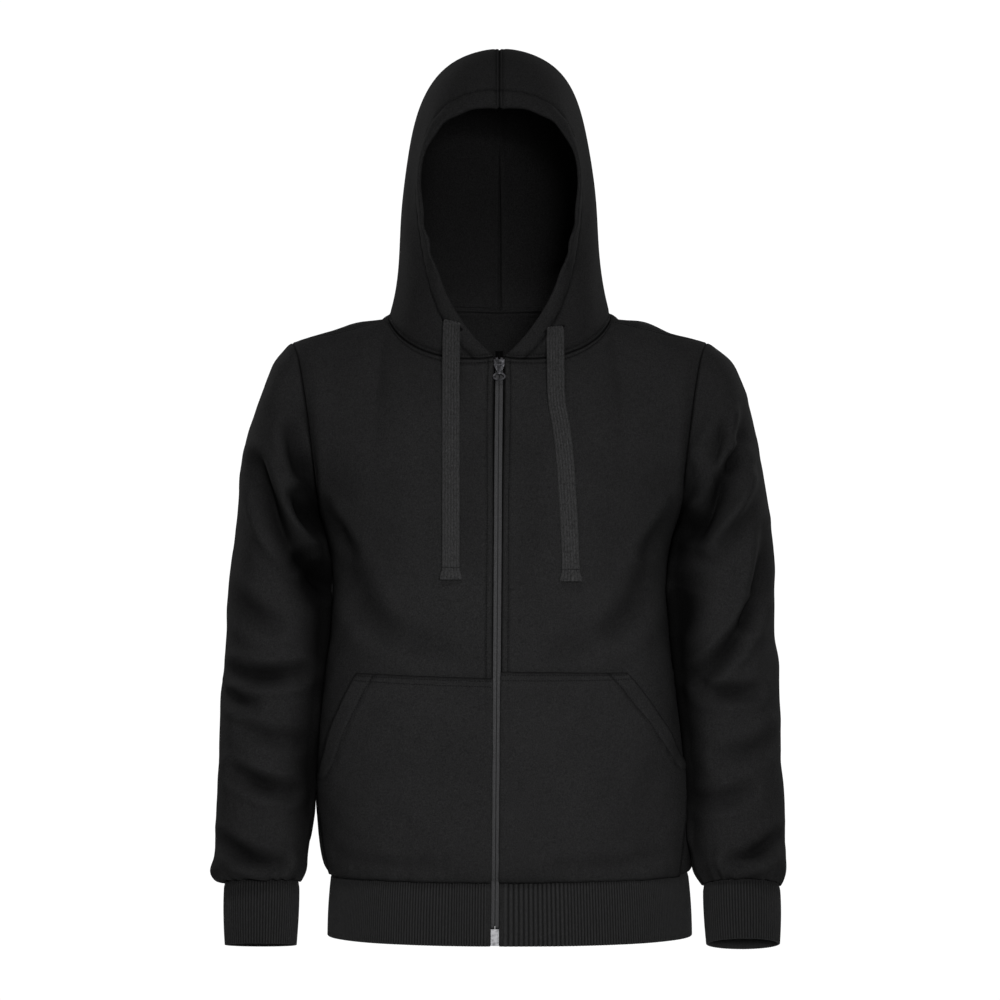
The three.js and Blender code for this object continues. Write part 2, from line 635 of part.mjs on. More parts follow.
function makeHood(side) {
  const place = (i, j) => {
    const s = HOOD_SHARES[j];
    const start = neckPlace(j, side);
    const top = readTable(HOOD_TOP, "s", s);
    const handles = readTable(HOOD_COLUMNS, "s", s);
    return columnPlace(start, vec(0, top.y, top.z), handles, side, 1 - i / HOOD_ROWS);
  };
  return makePanel(HOOD_ROWS, NECK_COUNT, place, () => vec(0, 0, 110), { group: "hood" });
}

const frontLeft = makeFront(1);
const frontRight = makeFront(-1);
const back = makeBack();
const sleeves = { left: makeSleeve("left", 1), right: makeSleeve("right", -1) };
const hoodLeft = makeHood(1);
const hoodRight = makeHood(-1);
shareDirections([frontLeft, frontRight, back, sleeves.left, sleeves.right, hoodLeft, hoodRight]);

const column = (panel, j, from = 0, to = panel.cells.length - 1) =>
  panel.cells.slice(from, to + 1).map((row) => row.at(j));
const rowOf = (panel, i, from = 0, to = panel.cells[0].length - 1) => panel.cells[i].slice(from, to + 1);

// Seams: side, shoulder, armhole, neck and the hood's centre seam
for (const [front, sideName, hood] of [[frontLeft, "left", hoodLeft], [frontRight, "right", hoodRight]]) {
  const sleeve = sleeves[sideName];
  const left = sideName === "left";
  const backColumn = left ? -1 : 0;
  const neckSteps = NECK_STEPS.length - 1;
  sew(front, column(front, -1, UPPER_ROWS), back, column(back, backColumn, UPPER_ROWS));
  const backTopRow = left ? rowOf(back, 0).reverse() : rowOf(back, 0);
  sew(front, rowOf(front, 0, neckSteps).reverse(), back, backTopRow.slice(0, SHOULDER_STEPS + 1));
  sew(front, rowOf(front, 0, 0, neckSteps), hood, rowOf(hood, HOOD_ROWS, 0, neckSteps));
  sew(back, backTopRow.slice(SHOULDER_STEPS, BACK_HALF + 1), hood, rowOf(hood, HOOD_ROWS, neckSteps));
  sew(front, column(front, -1, 0, UPPER_ROWS), sleeve, rowOf(sleeve, 0, 0, UPPER_ROWS));
  const sleeveBack = [...rowOf(sleeve, 0, UPPER_ROWS), sleeve.cells[0][0]];
  sew(back, column(back, backColumn, 0, UPPER_ROWS).reverse(), sleeve, sleeveBack);
}
const hoodSeam = (hood) => [...rowOf(hood, 0), ...column(hood, -1, 1)];
sew(hoodRight, hoodSeam(hoodRight), hoodLeft, hoodSeam(hoodLeft));

const upright = vec(0, 0, 1);
const hemLevel = { [BODY_ROWS]: upright };
addPiece("front_left", wallGeometry(frontLeft, { level: hemLevel }), CLOTH_LOOK);
addPiece("front_right", wallGeometry(frontRight, { level: hemLevel }), CLOTH_LOOK);
addPiece("back", wallGeometry(back, { level: hemLevel }), CLOTH_LOOK);

function cuffAxis(cuff) {
  const lean = THREE.MathUtils.degToRad(cuff.lean);
  return vec(0, -Math.sin(lean), -Math.cos(lean));
}

// The wall of each sleeve is made as two tubes that meet above the elbow, which keeps its bent hollow open
const ELBOW_ROW = 9;
for (const [name, sleeve] of Object.entries(sleeves)) {
  const upper = { ...sleeve, cells: sleeve.cells.slice(0, ELBOW_ROW + 1) };
  addPiece("sleeve_" + name, wallGeometry(upper), CLOTH_LOOK);
  const parted = sleeve.cells[ELBOW_ROW].map((cell) => ({ ...cell, move: vec(0, 0, -SEAM_GAP) }));
  const lower = { ...sleeve, cells: [parted, ...sleeve.cells.slice(ELBOW_ROW + 1)] };
  const level = { [lower.cells.length - 1]: cuffAxis(CUFFS[name]) };
  addPiece("sleeve_lower_" + name, wallGeometry(lower, { level }), CLOTH_LOOK);
}

const hoodCloth = (i, j) => (j <= 1 ? CASING_CLOTH - (j === 1 ? 1.2 : 0) : CLOTH);
const hoodRise = (i, j) => (j === 0 ? CASING_RISE : 0);
addPiece("hood_left", wallGeometry(hoodLeft, { cloth: hoodCloth, rise: hoodRise }), CLOTH_LOOK);
addPiece("hood_right", wallGeometry(hoodRight, { cloth: hoodCloth, rise: hoodRise }), CLOTH_LOOK);

// Rib bands: upright ribs raised on the outer points, over a plain inside.
// place(share, down) is on the plain outer line, and out(share) points away from it.
function ribBand(place, out, length, closed) {
  const ribs = Math.round(length / RIB_PITCH);
  const fine = 2 * ribs;
  const coarse = Math.max(24, Math.round(length / 20));
  const outer = [];
  const inner = [];
  for (const down of [0, 1]) {
    for (let k = 0; k < fine + (closed ? 0 : 1); k += 1) {
      const direction = out(k / fine);
      outer.push(place(k / fine, down).addScaledVector(direction, k % 2 ? RIB_RISE : 0));
    }
    for (let k = 0; k < coarse + (closed ? 0 : 1); k += 1) {
      inner.push(place(k / coarse, down).addScaledVector(out(k / coarse), -RIB_CLOTH));
    }
  }
  const points = [...outer, ...inner];
  const outerWide = outer.length / 2;
  const innerWide = inner.length / 2;
  const faces = [];
  const outerAt = (k, down) => (k % outerWide) + down * outerWide;
  const innerAt = (k, down) => outer.length + (k % innerWide) + down * innerWide;
  for (let k = 0; k < fine; k += 1) {
    const [a, b, c, d] = [outerAt(k, 0), outerAt(k + 1, 0), outerAt(k + 1, 1), outerAt(k, 1)];
    faces.push(a, b, c, a, c, d);
  }
  for (let k = 0; k < coarse; k += 1) {
    const [a, b, c, d] = [innerAt(k, 0), innerAt(k + 1, 0), innerAt(k + 1, 1), innerAt(k, 1)];
    faces.push(a, c, b, a, d, c);
  }
  for (const down of [0, 1]) {
    let i = 0;
    let j = 0;
    while (i < fine || j < coarse) {
      const takeOuter = j === coarse || (i < fine && (i + 1) / fine <= (j + 1) / coarse);
      const third = takeOuter ? outerAt(i + 1, down) : innerAt(j + 1, down);
      const face = [outerAt(i, down), innerAt(j, down), third];
      faces.push(...(down ? face.reverse() : face));
      if (takeOuter) i += 1;
      else j += 1;
    }
  }
  if (!closed) {
    const [a, b, c, d] = [outerAt(0, 0), outerAt(0, 1), innerAt(0, 1), innerAt(0, 0)];
    faces.push(a, b, c, a, c, d);
    const [e, f, g, h] = [outerAt(fine, 0), outerAt(fine, 1), innerAt(coarse, 1), innerAt(coarse, 0)];
    faces.push(e, g, f, e, h, g);
  }
  return solidGeometry(points, faces);
}

// Hem band: from one side of the zip, round the back, to the other side
const HEM_BAND = { wide: 191.5, shift: 11, front: 102, back: 97, round: 2.3, spread: 4 };
const HEM_LENGTH = 966;
const HEM_SPARE_TURN = 2.2;
const HEM_SETTLED = 60;

function hemPlace(share, down) {
  const turn = THREE.MathUtils.degToRad(mix(HEM_SPARE_TURN, 360 - HEM_SPARE_TURN, share));
  const grow = HEM_BAND.spread * down;
  const depth = Math.cos(turn) > 0 ? HEM_BAND.front : HEM_BAND.back;
  const power = 2 / HEM_BAND.round;
  const z = down ? HEM_BOTTOM_Z : HEM_TOP_Z - SEAM_GAP;
  const x = -(HEM_BAND.wide + grow) * powerOf(Math.sin(turn), power);
  const y = -(depth + grow) * powerOf(Math.cos(turn), power);
  const besideZip = y < 0 ? clamp01(1 - Math.abs(x) / HEM_SETTLED) : 0;
  return vec(x + mix(HEM_BAND.shift, zipX(z), besideZip), y, z);
}

function hemOut(share) {
  const step = 1e-3;
  const ahead = hemPlace(Math.min(share + step, 1), 0);
  const behind = hemPlace(Math.max(share - step, 0), 0);
  const along = ahead.sub(behind).normalize();
  return vec(-along.y, along.x, 0);
}

const hemFacing = Math.sign(hemOut(0.5).y);
addPiece(
  "hem_band",
  ribBand(hemPlace, (share) => hemOut(share).multiplyScalar(hemFacing), HEM_LENGTH, false),
  RIB_LOOK,
);

function makeCuff(name, side) {
  const cuff = CUFFS[name];
  const axis = cuffAxis(cuff);
  const ahead = vec(0, axis.z, -axis.y);
  const centre = vec(side * cuff.x, cuff.y, cuff.z);
  const radial = (share) => {
    const angle = 2 * Math.PI * share;
    const sideways = vec(side * cuff.halfWide * Math.cos(angle), 0, 0);
    return sideways.addScaledVector(ahead, cuff.halfDeep * Math.sin(angle));
  };
  const out = (share) => {
    const angle = 2 * Math.PI * share;
    const across = vec(side * cuff.halfDeep * Math.cos(angle), 0, 0);
    return across.addScaledVector(ahead, cuff.halfWide * Math.sin(angle)).normalize();
  };
  const place = (share, down) =>
    centre
      .clone()
      .add(radial(share).multiplyScalar(1 - 0.05 * down))
      .addScaledVector(axis, down ? cuff.length : SEAM_GAP);
  const around = Math.PI * (cuff.halfWide + cuff.halfDeep);
  addPiece("cuff_" + name, ribBand(place, out, around, true), RIB_LOOK);
}
makeCuff("left", 1);
makeCuff("right", -1);

// Pockets: the front's own points moved out, cut to the pocket's outline
const POCKET_FIRST_ROW = UPPER_ROWS + 4;
const CUTTER_DEPTH = 140;

function makePocket(name, front, side) {
  const cells = front.cells.slice(POCKET_FIRST_ROW).map((row) =>
    row.map((cell) => {
      const away = Math.hypot(Math.abs(cell.place.x) - POCKET_GAPE.x, cell.place.z - POCKET_GAPE.z);
      const lift = POCKET_GAPE.lift * Math.exp(-((away / POCKET_GAPE.reach) ** 2));
      const place = cell.place.clone().addScaledVector(cell.out, SEAM_GAP + POCKET_CLOTH + lift);
      return { place, out: cell.out, own: null, move: vec(0, 0, 0) };
    }),
  );
  const sheet = wallGeometry({ cells, tube: false }, { cloth: () => POCKET_CLOTH });
  const besideZip = ([x, z]) => (x === ZIP_HALF_GAP ? zipX(z) : 0);
  const outline = POCKETS[name].map((corner) => flat(side * corner[0] + besideZip(corner), corner[1]));
  const cutter = { depth: CUTTER_DEPTH, bevelEnabled: false };
  const block = new THREE.ExtrudeGeometry(new THREE.Shape(outline), cutter);
  block.rotateX(Math.PI / 2);
  const cut = toManifold(sheet).intersect(toManifold(block));
  addPiece("pocket_" + name, fromManifold(cut), CLOTH_LOOK);
}
makePocket("left", frontLeft, 1);
makePocket("right", frontRight, -1);

// Zip: rows of the front edge carry the tapes and the chain
function frontEdge() {
  const rows = frontLeft.cells.map((row, i) => {
    const mate = frontRight.cells[i][0].place;
    return row[0].place.clone().add(mate).multiplyScalar(0.5);
  });
  const band = [hemPlace(0, 0), hemPlace(0, 1)].map((p) => vec(zipX(p.z), p.y, p.z));
  return [...rows.slice(0, -1), ...band];
}

// An upright strip behind the edge line, from one x to another; either may change with the height
function strip(line, from, to, yFront, depth) {
  const points = [];
  const reach = (value, z) => (typeof value === "function" ? value(z) : value);
  for (const p of line) {
    const [xFrom, xTo] = [p.x + reach(from, p.z), p.x + reach(to, p.z)];
    points.push(vec(xFrom, p.y + yFront, p.z), vec(xTo, p.y + yFront, p.z));
    points.push(vec(xTo, p.y + yFront + depth, p.z), vec(xFrom, p.y + yFront + depth, p.z));
  }
  const faces = [0, 1, 2, 0, 2, 3];
  const end = points.length - 4;
  faces.push(end, end + 2, end + 1, end, end + 3, end + 2);
  for (let i = 0; i + 4 < points.length; i += 4) {
    for (let k = 0; k < 4; k += 1) {
      const [a, b] = [i + k, i + ((k + 1) % 4)];
      faces.push(a, a + 4, b + 4, a, b + 4, b);
    }
  }
  return solidGeometry(points, faces);
}

// The part of a line below one height, with a point at that height
function below(line, z) {
  const k = line.findIndex((p) => p.z < z);
  const t = (z - line[k - 1].z) / (line[k].z - line[k - 1].z);
  return [line[k - 1].clone().lerp(line[k], t), ...line.slice(k)];
}

function above(line, z) {
  const k = line.findIndex((p) => p.z < z);
  const t = (z - line[k - 1].z) / (line[k].z - line[k - 1].z);
  return [...line.slice(0, k), line[k - 1].clone().lerp(line[k], t)];
}

const edge = frontEdge();
const tapeFront = CLOTH + 0.7;
const tapeBelow = below(edge, TAPE_SHOULDER_Z);
const tapeNeck = [TAPE_NECK_RISE, 0.4].map((rise) => tapeBelow[0].clone().add(vec(0, 0, rise)));
const tapeLine = [...tapeNeck, ...tapeBelow];
const tapeReach = (z) => (z > TAPE_SHOULDER_Z + 0.2 ? TAPE_NECK_HALF : TAPE_OUTER);
addPiece("zip_tape_left", strip(tapeLine, 0.15, tapeReach, tapeFront, TAPE_CLOTH), TAPE_LOOK);
addPiece("zip_tape_right", strip(tapeLine, (z) => -tapeReach(z), -0.15, tapeFront, TAPE_CLOTH), TAPE_LOOK);
const chainBack = tapeFront - SEAM_GAP;
const chainLine = above(below(edge, SLIDER_TOP_Z - SLIDER_LENGTH - SEAM_GAP), BOX_TOP_Z + SEAM_GAP);
addPiece(
  "zip_chain",
  strip(chainLine, -CHAIN_HALF, CHAIN_HALF, chainBack - CHAIN_DEPTH, CHAIN_DEPTH),
  TAPE_LOOK,
);

// A flat metal piece: an outline seen from the front, with its back face at the given depth
function plate(outline, depth, holes = []) {
  const shape = new THREE.Shape(outline);
  shape.holes.push(...holes);
  const geometry = new THREE.ExtrudeGeometry(shape, { depth, bevelEnabled: false, curveSegments: 10 });
  geometry.rotateX(Math.PI / 2);
  return geometry;
}

const sliderSpot = below(edge, SLIDER_TOP_Z - SLIDER_LENGTH)[0];
const PLATE_DEPTH = 5;
const sliderBackY = sliderSpot.y + chainBack - 1.2;

// Slider body: wide shoulders at the top, narrow foot, and two lugs that carry the tab's pin
const LUG_X = 2.3;
const LUG_WIDE = 1.1;
const PIN_DROP = 4.2;
const PIN_AHEAD = 2.4;
const sliderOutline = [
  flat(-SLIDER_HALF, 0),
  flat(SLIDER_HALF, 0),
  flat(SLIDER_HALF, -6),
  flat(SLIDER_HALF * 0.66, -SLIDER_LENGTH + 1.5),
  flat(SLIDER_HALF * 0.5, -SLIDER_LENGTH),
  flat(-SLIDER_HALF * 0.5, -SLIDER_LENGTH),
  flat(-SLIDER_HALF * 0.66, -SLIDER_LENGTH + 1.5),
  flat(-SLIDER_HALF, -6),
];
const lug = (x) => {
  const geometry = new THREE.BoxGeometry(LUG_WIDE, PIN_AHEAD + 2.2, 4);
  geometry.translate(x, -PLATE_DEPTH - PIN_AHEAD / 2 + 0.4, -PIN_DROP);
  return geometry;
};
const sliderSolid = toManifold(plate(sliderOutline, PLATE_DEPTH))
  .add(toManifold(lug(-LUG_X)))
  .add(toManifold(lug(LUG_X)));
const sliderPlace = vec(sliderSpot.x, sliderBackY, SLIDER_TOP_Z);
addPiece("zip_slider", fromManifold(sliderSolid), METAL_LOOK, sliderPlace);

// Pull tab: a barrel between the lugs, a narrow stem and an oval ring
const TAB_THICK = 1.3;
const TAB_RING = { halfWide: 6.6, halfHigh: 4.4, wall: 1.7, drop: 14 };
const tabRing = new THREE.Shape();
tabRing.absellipse(0, -TAB_RING.drop, TAB_RING.halfWide, TAB_RING.halfHigh, 0, 2 * Math.PI, false, 0);
const ringHole = new THREE.Path();
const [holeWide, holeHigh] = [TAB_RING.halfWide - TAB_RING.wall, TAB_RING.halfHigh - TAB_RING.wall];
ringHole.absellipse(0, -TAB_RING.drop, holeWide, holeHigh, 0, 2 * Math.PI, true, 0);
tabRing.holes.push(ringHole);
const ringBody = { depth: TAB_THICK, bevelEnabled: false, curveSegments: 14 };
const ringGeometry = new THREE.ExtrudeGeometry(tabRing, ringBody);
ringGeometry.rotateX(Math.PI / 2);
ringGeometry.translate(0, TAB_THICK / 2, 0);
const stemEnd = -TAB_RING.drop + TAB_RING.halfHigh - 0.6;
const stem = plate([flat(-1.4, -0.2), flat(1.4, -0.2), flat(2.3, stemEnd), flat(-2.3, stemEnd)], TAB_THICK);
stem.translate(0, TAB_THICK / 2, 0);
const barrel = new THREE.CylinderGeometry(1.2, 1.2, 2.9, 12);
barrel.rotateZ(Math.PI / 2);
const tabSolid = toManifold(ringGeometry).add(toManifold(stem)).add(toManifold(barrel));
const pinPlace = sliderPlace.clone().add(vec(0, -PLATE_DEPTH - PIN_AHEAD + 0.5, -PIN_DROP));
addPiece("zip_pull_tab", fromManifold(tabSolid), METAL_LOOK, pinPlace);

// Top stops on the tapes above the slider, and the box and pin at the foot
const STOP = { wide: 2.4, deep: 1.8, high: 1.8, away: 2.6 };
for (const [name, side] of [["left", 1], ["right", -1]]) {
  const stop = new THREE.BoxGeometry(STOP.wide, STOP.deep, STOP.high);
  const y = tapeBelow[0].y + chainBack - STOP.deep / 2;
  const z = SLIDER_TOP_Z + SEAM_GAP + STOP.high / 2;
  addPiece("zip_stop_" + name, stop, METAL_LOOK, vec(tapeBelow[0].x + side * STOP.away, y, z));
}
const footLine = below(edge, BOX_TOP_Z);
addPiece("zip_box", strip(footLine, -BOX_HALF, BOX_HALF, chainBack - 3.4, 3.4), METAL_LOOK);

// Drawcord ends: a flat cord with rounded edges, hanging from the casing
function flatSection(halfWide, halfThick) {
  const shape = new THREE.Shape();
  const straight = halfWide - halfThick;
  shape.absarc(straight, 0, halfThick, -Math.PI / 2, Math.PI / 2, false);
  shape.absarc(-straight, 0, halfThick, Math.PI / 2, (3 * Math.PI) / 2, false);
  return shape;
}

for (const [name, route] of Object.entries(CORD_ROUTES)) {
  const curve = new THREE.CatmullRomCurve3(route.map((p) => vec(...p)), false, "centripetal");
  const cord = new THREE.ExtrudeGeometry(flatSection(CORD_HALF_WIDE, CORD_HALF_THICK), {
    extrudePath: curve,
    steps: 22,
    curveSegments: 2,
    bevelEnabled: false,
  });
  addPiece("drawcord_" + name, cord, CORD_LOOK);
  const end = vec(...route.at(-1));
  const tip = new THREE.BoxGeometry(2 * CORD_TIP_HALF_WIDE, 2 * CORD_HALF_THICK + 0.6, CORD_TIP_LENGTH);
  const tipPlace = end.clone().add(vec(0, -0.5, -CORD_TIP_LENGTH / 2 - SEAM_GAP));
  addPiece("drawcord_tip_" + name, tip, CORD_LOOK, tipPlace);
}

export default garment;
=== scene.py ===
import math

import bmesh
import bpy
import numpy as np
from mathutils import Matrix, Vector
from mathutils.bvhtree import BVHTree
from mathutils.kdtree import KDTree


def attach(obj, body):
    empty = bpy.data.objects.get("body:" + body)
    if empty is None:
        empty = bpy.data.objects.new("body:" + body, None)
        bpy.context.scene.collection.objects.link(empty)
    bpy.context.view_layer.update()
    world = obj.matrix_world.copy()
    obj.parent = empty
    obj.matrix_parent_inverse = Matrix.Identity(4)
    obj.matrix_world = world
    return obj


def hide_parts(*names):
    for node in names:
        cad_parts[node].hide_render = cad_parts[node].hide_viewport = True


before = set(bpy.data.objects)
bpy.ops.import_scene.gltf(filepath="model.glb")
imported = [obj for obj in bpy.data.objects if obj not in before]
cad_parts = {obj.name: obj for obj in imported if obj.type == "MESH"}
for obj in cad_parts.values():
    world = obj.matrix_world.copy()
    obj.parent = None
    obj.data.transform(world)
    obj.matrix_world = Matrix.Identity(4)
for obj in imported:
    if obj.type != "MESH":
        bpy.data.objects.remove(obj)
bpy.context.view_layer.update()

# Shapes are worked out in millimetres, in the frame of the solids, and made in metres
MM = 0.001
BODY = "garment"
SIDES = {"left": 1, "right": -1}
rng = np.random.default_rng(7)

# Camera: level, in front of the garment, as far away as a product photograph is taken
CAMERA_AWAY = 3600
CAMERA_HEIGHT = -197
PICTURE_WIDE = 1080
SENSOR = 36

camera_data = bpy.data.cameras.new("camera")
camera_data.sensor_width = SENSOR
camera_data.lens = SENSOR * CAMERA_AWAY / PICTURE_WIDE
camera_data.clip_end = 50
camera = bpy.data.objects.new("camera", camera_data)
camera.location = (0.5 * MM, -CAMERA_AWAY * MM, CAMERA_HEIGHT * MM)
camera.rotation_euler = (math.radians(90), 0, 0)
bpy.context.scene.collection.objects.link(camera)
bpy.context.scene.camera = camera

# Cloth sizes
CLOTH = 2.0
CASING_CLOTH = 4.6
CASING_WIDE = 22
POCKET_CLOTH = 1.8
RIB_CLOTH = 1.6
RIB_RISE = 1.25
RIB_PITCH = 2.76
SEAM_GAP = 0.3

# Heights on the body
ARMPIT_Z = -212
HEM_TOP_Z = -598
HEM_BOTTOM_Z = -664.5

# The zip
ZIP_HALF_GAP = 5
ZIP_DRIFT = -5


def table(names, *rows):
    """A short table with named columns, as a dictionary of arrays."""
    return dict(zip(names.split(), np.array(rows, float).T))


BODY_RINGS = table(
    "z wide shift front back round",
    (-598, 193, 10, 103, 98, 2.3),
    (-590, 198, 9.5, 108, 102, 2.3),
    (-569, 200.5, 7, 112, 104, 2.3),
    (-508, 202, 3, 114, 104, 2.3),
    (-446, 196, 0.5, 115, 103, 2.3),
    (-379, 188.5, 0, 115, 102, 2.3),
    (-345, 183.5, 0, 115, 102, 2.3),
    (-300, 180, 0, 114, 104, 2.3),
    (-274, 181, 0, 113, 106, 2.35),
    (-256, 182.5, 0, 113, 107, 2.35),
    (-241, 185, 0, 112, 108, 2.35),
    (-229, 188, 0, 112, 108, 2.35),
    (-220, 191, 0, 112, 108, 2.35),
    (-212, 194, 0, 112, 108, 2.35),
)
FRONT_NECK = [(5, -88, -46), (60, -97, -55), (106, -80, -36), (119, -30, -4)]
BACK_NECK = [(119, -30, -4), (122, 12, 14), (72, 82, 14), (0, 82, 12)]
SHOULDER = [(119, -30, -4), (150, -32, -10), (190, -28, -21), (223, -20, -28)]
ARMHOLE_FRONT = [(194, 0, -212), (193, -90, -192), (211, -72, -30), (223, -20, -28)]
ARMHOLE_BACK = [(194, 0, -212), (195, 96, -196), (212, 92, -26), (223, -20, -28)]
FRONT_COLUMNS = table(
    "u riseX riseY riseZ fallX fallY fallZ",
    (0, 0, -5, 60, 2, -13, -45),
    (0.22, 0, -6, 62, 2, -14, -42),
    (0.44, -2, -12, 80, 8, -44, -20),
    (0.72, -1, -42, 72, -3, -50, -20),
    (0.89, 0, -76, 42, -9, -54, -6),
    (1, -1, -90, 20, -12, -52, -2),
)
BACK_COLUMNS = table(
    "u riseX riseY riseZ fallX fallY fallZ",
    (0, 1, 96, 16, -11, 112, 2),
    (0.14, 1, 74, 44, -8, 106, 20),
    (0.3, 0, 46, 80, 0, 98, 40),
    (0.5, 0, 16, 92, 30, 66, 12),
    (0.7, 0, 6, 90, 26, 30, -16),
    (1, 0, 2, 80, 0, 20, -50),
)
SLEEVE_LOOPS = table(
    "xOut left right zOut xIn zIn front back lean",
    (244, 7, 0, -47, 193.4, -215.5, -76, 82, 0),
    (257, 5.5, -1, -72, 192.2, -220, -81, 85, 0),
    (266, 5, -1, -103, 190, -227, -83, 84, 0),
    (274, 4, 0, -138, 187.5, -237, -83, 81, 0),
    (281, 5, -0.5, -178, 184.5, -250, -82, 76, 0),
    (287, 5.5, -3, -220, 180, -268, -80, 71, 0),
    (291, 5.5, -2.5, -262, 176, -290, -78, 65, 0),
    (293, 1.5, -1, -302, 176.5, -318, -77, 59, 0),
    (294, 0.5, -1, -340, 180, -348, -77, 54, 0),
    (296, 4, 0, -375, 184.5, -378, -78, 49, 0.05),
    (299, 1.5, 1.5, -410, 189, -408, -79, 44, 0.1),
    (300, 2, 0.5, -443, 193, -438, -80, 39, 0.16),
    (300, 2, 0.5, -475, 196.5, -468, -81, 33, 0.24),
    (302, 3, 0, -505, 198, -498, -82, 27, 0.34),
    (302, 3, 1.5, -532, 199, -527, -83, 21, 0.46),
    (302, 3, 1.5, -556, 201.5, -552, -85, 15, 0.6),
    (305, 1, -1, -578, 204.5, -575, -88, 11, 0.78),
    (307, -1, 1.5, -594, 206.5, -592, -89, 9, 0.92),
    (303, 0, 0, -603, 212, -602, -83, 4, 1),
)
SLEEVE_ROUND = 2.15
REST_GAP = 1.4
CUFFS = {
    "left": {"x": 258.5, "y": -41, "z": -609, "half_wide": 40, "half_deep": 30, "length": 62, "lean": 19},
    "right": {"x": 254, "y": -41, "z": -605, "half_wide": 39, "half_deep": 30, "length": 66, "lean": 11},
}
HOOD_TOP = table(
    "s y z",
    (0, -98, 217),
    (0.1, -79, 243),
    (0.28, -38, 277),
    (0.52, 12, 290.5),
    (0.76, 62, 270),
    (1, 98, 232),
)
HOOD_COLUMNS = table(
    "s riseX riseY riseZ fallX fallY fallZ",
    (0, 79, -26, 62, 138, -18, 4),
    (0.1, 52, -22, 66, 136, -12, 8),
    (0.28, 10, -8, 74, 133, -4, 6),
    (0.45, -28, 4, 78, 134, 0, 4),
    (0.62, -20, 22, 76, 125, 10, 2),
    (0.8, -4, 34, 66, 96, 22, -8),
    (1, 0, 32, 58, 0, 36, -52),
)
# Shares of the neckline and of the hood's top at the neckline's steps
NECK_STEPS = table("j t", (0, 0), (1, 0.16), (2, 0.4), (3, 0.7), (4, 1))
HOOD_SHARES = {"j": np.arange(10.0), "s": np.array([0, 0.1, 0.22, 0.34, 0.46, 0.57, 0.68, 0.79, 0.9, 1])}
POCKETS = {
    "left": {"top_in": -377, "top_out": -379.5, "corner": 133, "slant": (200, -487), "side": (190, -598)},
    "right": {"top_in": -384, "top_out": -380, "corner": 149, "slant": (193, -496), "side": (181, -598)},
}
POCKET_GAPE = {"x": 172, "z": -436, "reach": 34, "lift": 4.5}

# Folds seen from the front: a line from one end to the other, its reach and its depth
SLEEVE_FOLDS = {
    "right": table(
        "x0 z0 x1 z1 reach deep",
        (220, -125, 198, -181, 13, 4),
        (261, -160, 214, -256, 14, 7),
        (214, -195, 194, -227, 12, 6),
        (284, -380, 212, -380, 12, 5),
        (296, -402, 262, -412, 11, 3),
        (279, -486, 222, -505, 12, 4.5),
        (294, -560, 232, -582, 12, 4.5),
        (206, -262, 184, -292, 12, 5),
        (288, -300, 240, -330, 16, 2.5),
        (270, -440, 215, -452, 12, 2.5),
    ),
    "left": table(
        "x0 z0 x1 z1 reach deep",
        (240, -119, 223, -148, 12, 4),
        (267, -103, 252, -156, 13, 4),
        (252, -156, 209, -229, 13, 6.5),
        (267, -176, 225, -248, 13, -3.5),
        (287, -233, 267, -323, 13, 4),
        (270, -316, 212, -384, 12, 5),
        (270, -399, 217, -399, 11, 3.5),
        (296, -556, 247, -578, 12, 4.5),
        (232, -153, 218, -194, 12, 3.5),
        (292, -450, 236, -470, 14, 2.5),
        (262, -505, 214, -516, 12, 2.5),
    ),
}
# Broad hollows on the side of each sleeve that lies against the body
SLEEVE_HOLLOWS = {
    "right": table(
        "x0 z0 x1 z1 reach deep",
        (200, -170, 180, -250, 22, 10),
        (208, -268, 176, -300, 26, 16),
        (182, -300, 182, -400, 23, 11),
        (188, -400, 194, -560, 22, 10),
    ),
    "left": table(
        "x0 z0 x1 z1 reach deep",
        (202, -195, 184, -270, 22, 10),
        (196, -290, 180, -340, 25, 13),
        (184, -340, 186, -440, 24, 12),
        (190, -440, 196, -560, 22, 10),
    ),
}
FRONT_FOLDS = table(
    "x0 z0 x1 z1 reach deep",
    (176, -236, 128, -330, 20, 4),
    (150, -318, 60, -356, 18, 2.5),
    (170, -575, 60, -582, 12, 2.5),
    (30, -150, 26, -290, 20, 1.3),
    (190, -205, 158, -250, 12, 3),
)
BACK_FOLDS = table(
    "x0 z0 x1 z1 reach deep",
    (172, -230, 96, -320, 22, 5),
    (158, -330, 30, -372, 20, 4),
    (140, -90, 150, -190, 22, 4),
    (165, -566, 40, -578, 14, 3.5),
    (60, -420, 10, -436, 18, 2),
)

# Flat cords: the listed routes of the two free ends
CORD_HALF_WIDE = 9.2
CORD_HALF_THICK = 1.9
CORD_TIP_LENGTH = 12
CORD_TIP_HALF_WIDE = 11.5
CORD_STEP = 2.4
CORD_SLANTS = {"right": 0.52, "left": -0.32}
CORD_SLANT_FADE = 34
CORD_TWISTS = {"right": -0.19, "left": 0.22}
CORD_TWIST_FADE = 13
CORD_ROUTES = {
    "right": [
        (-49.5, -99.9, -8),
        (-49.7, -102.2, -9.8),
        (-50.2, -103, -16),
        (-50.8, -103.6, -45),
        (-51, -105.8, -80),
        (-51, -109.6, -125),
        (-51, -112.8, -160),
        (-51, -113.9, -200),
        (-51, -114.2, -268),
    ],
    "left": [
        (57.5, -97.1, -15),
        (58, -99.6, -16.5),
        (58.4, -100.4, -24),
        (58.8, -101.8, -52),
        (59.8, -104, -91),
        (64.5, -106.8, -120),
        (68.6, -110, -155),
        (71.6, -110.8, -202),
        (73.6, -110.4, -240),
        (74.6, -110.8, -270),
    ],
}


# Curves and tables
def cubic(points, t):
    t = np.asarray(t, float)[..., None]
    p = np.array(points, float)
    return p[0] * (1 - t) ** 3 + p[1] * 3 * (1 - t) ** 2 * t + p[2] * 3 * (1 - t) * t**2 + p[3] * t**3


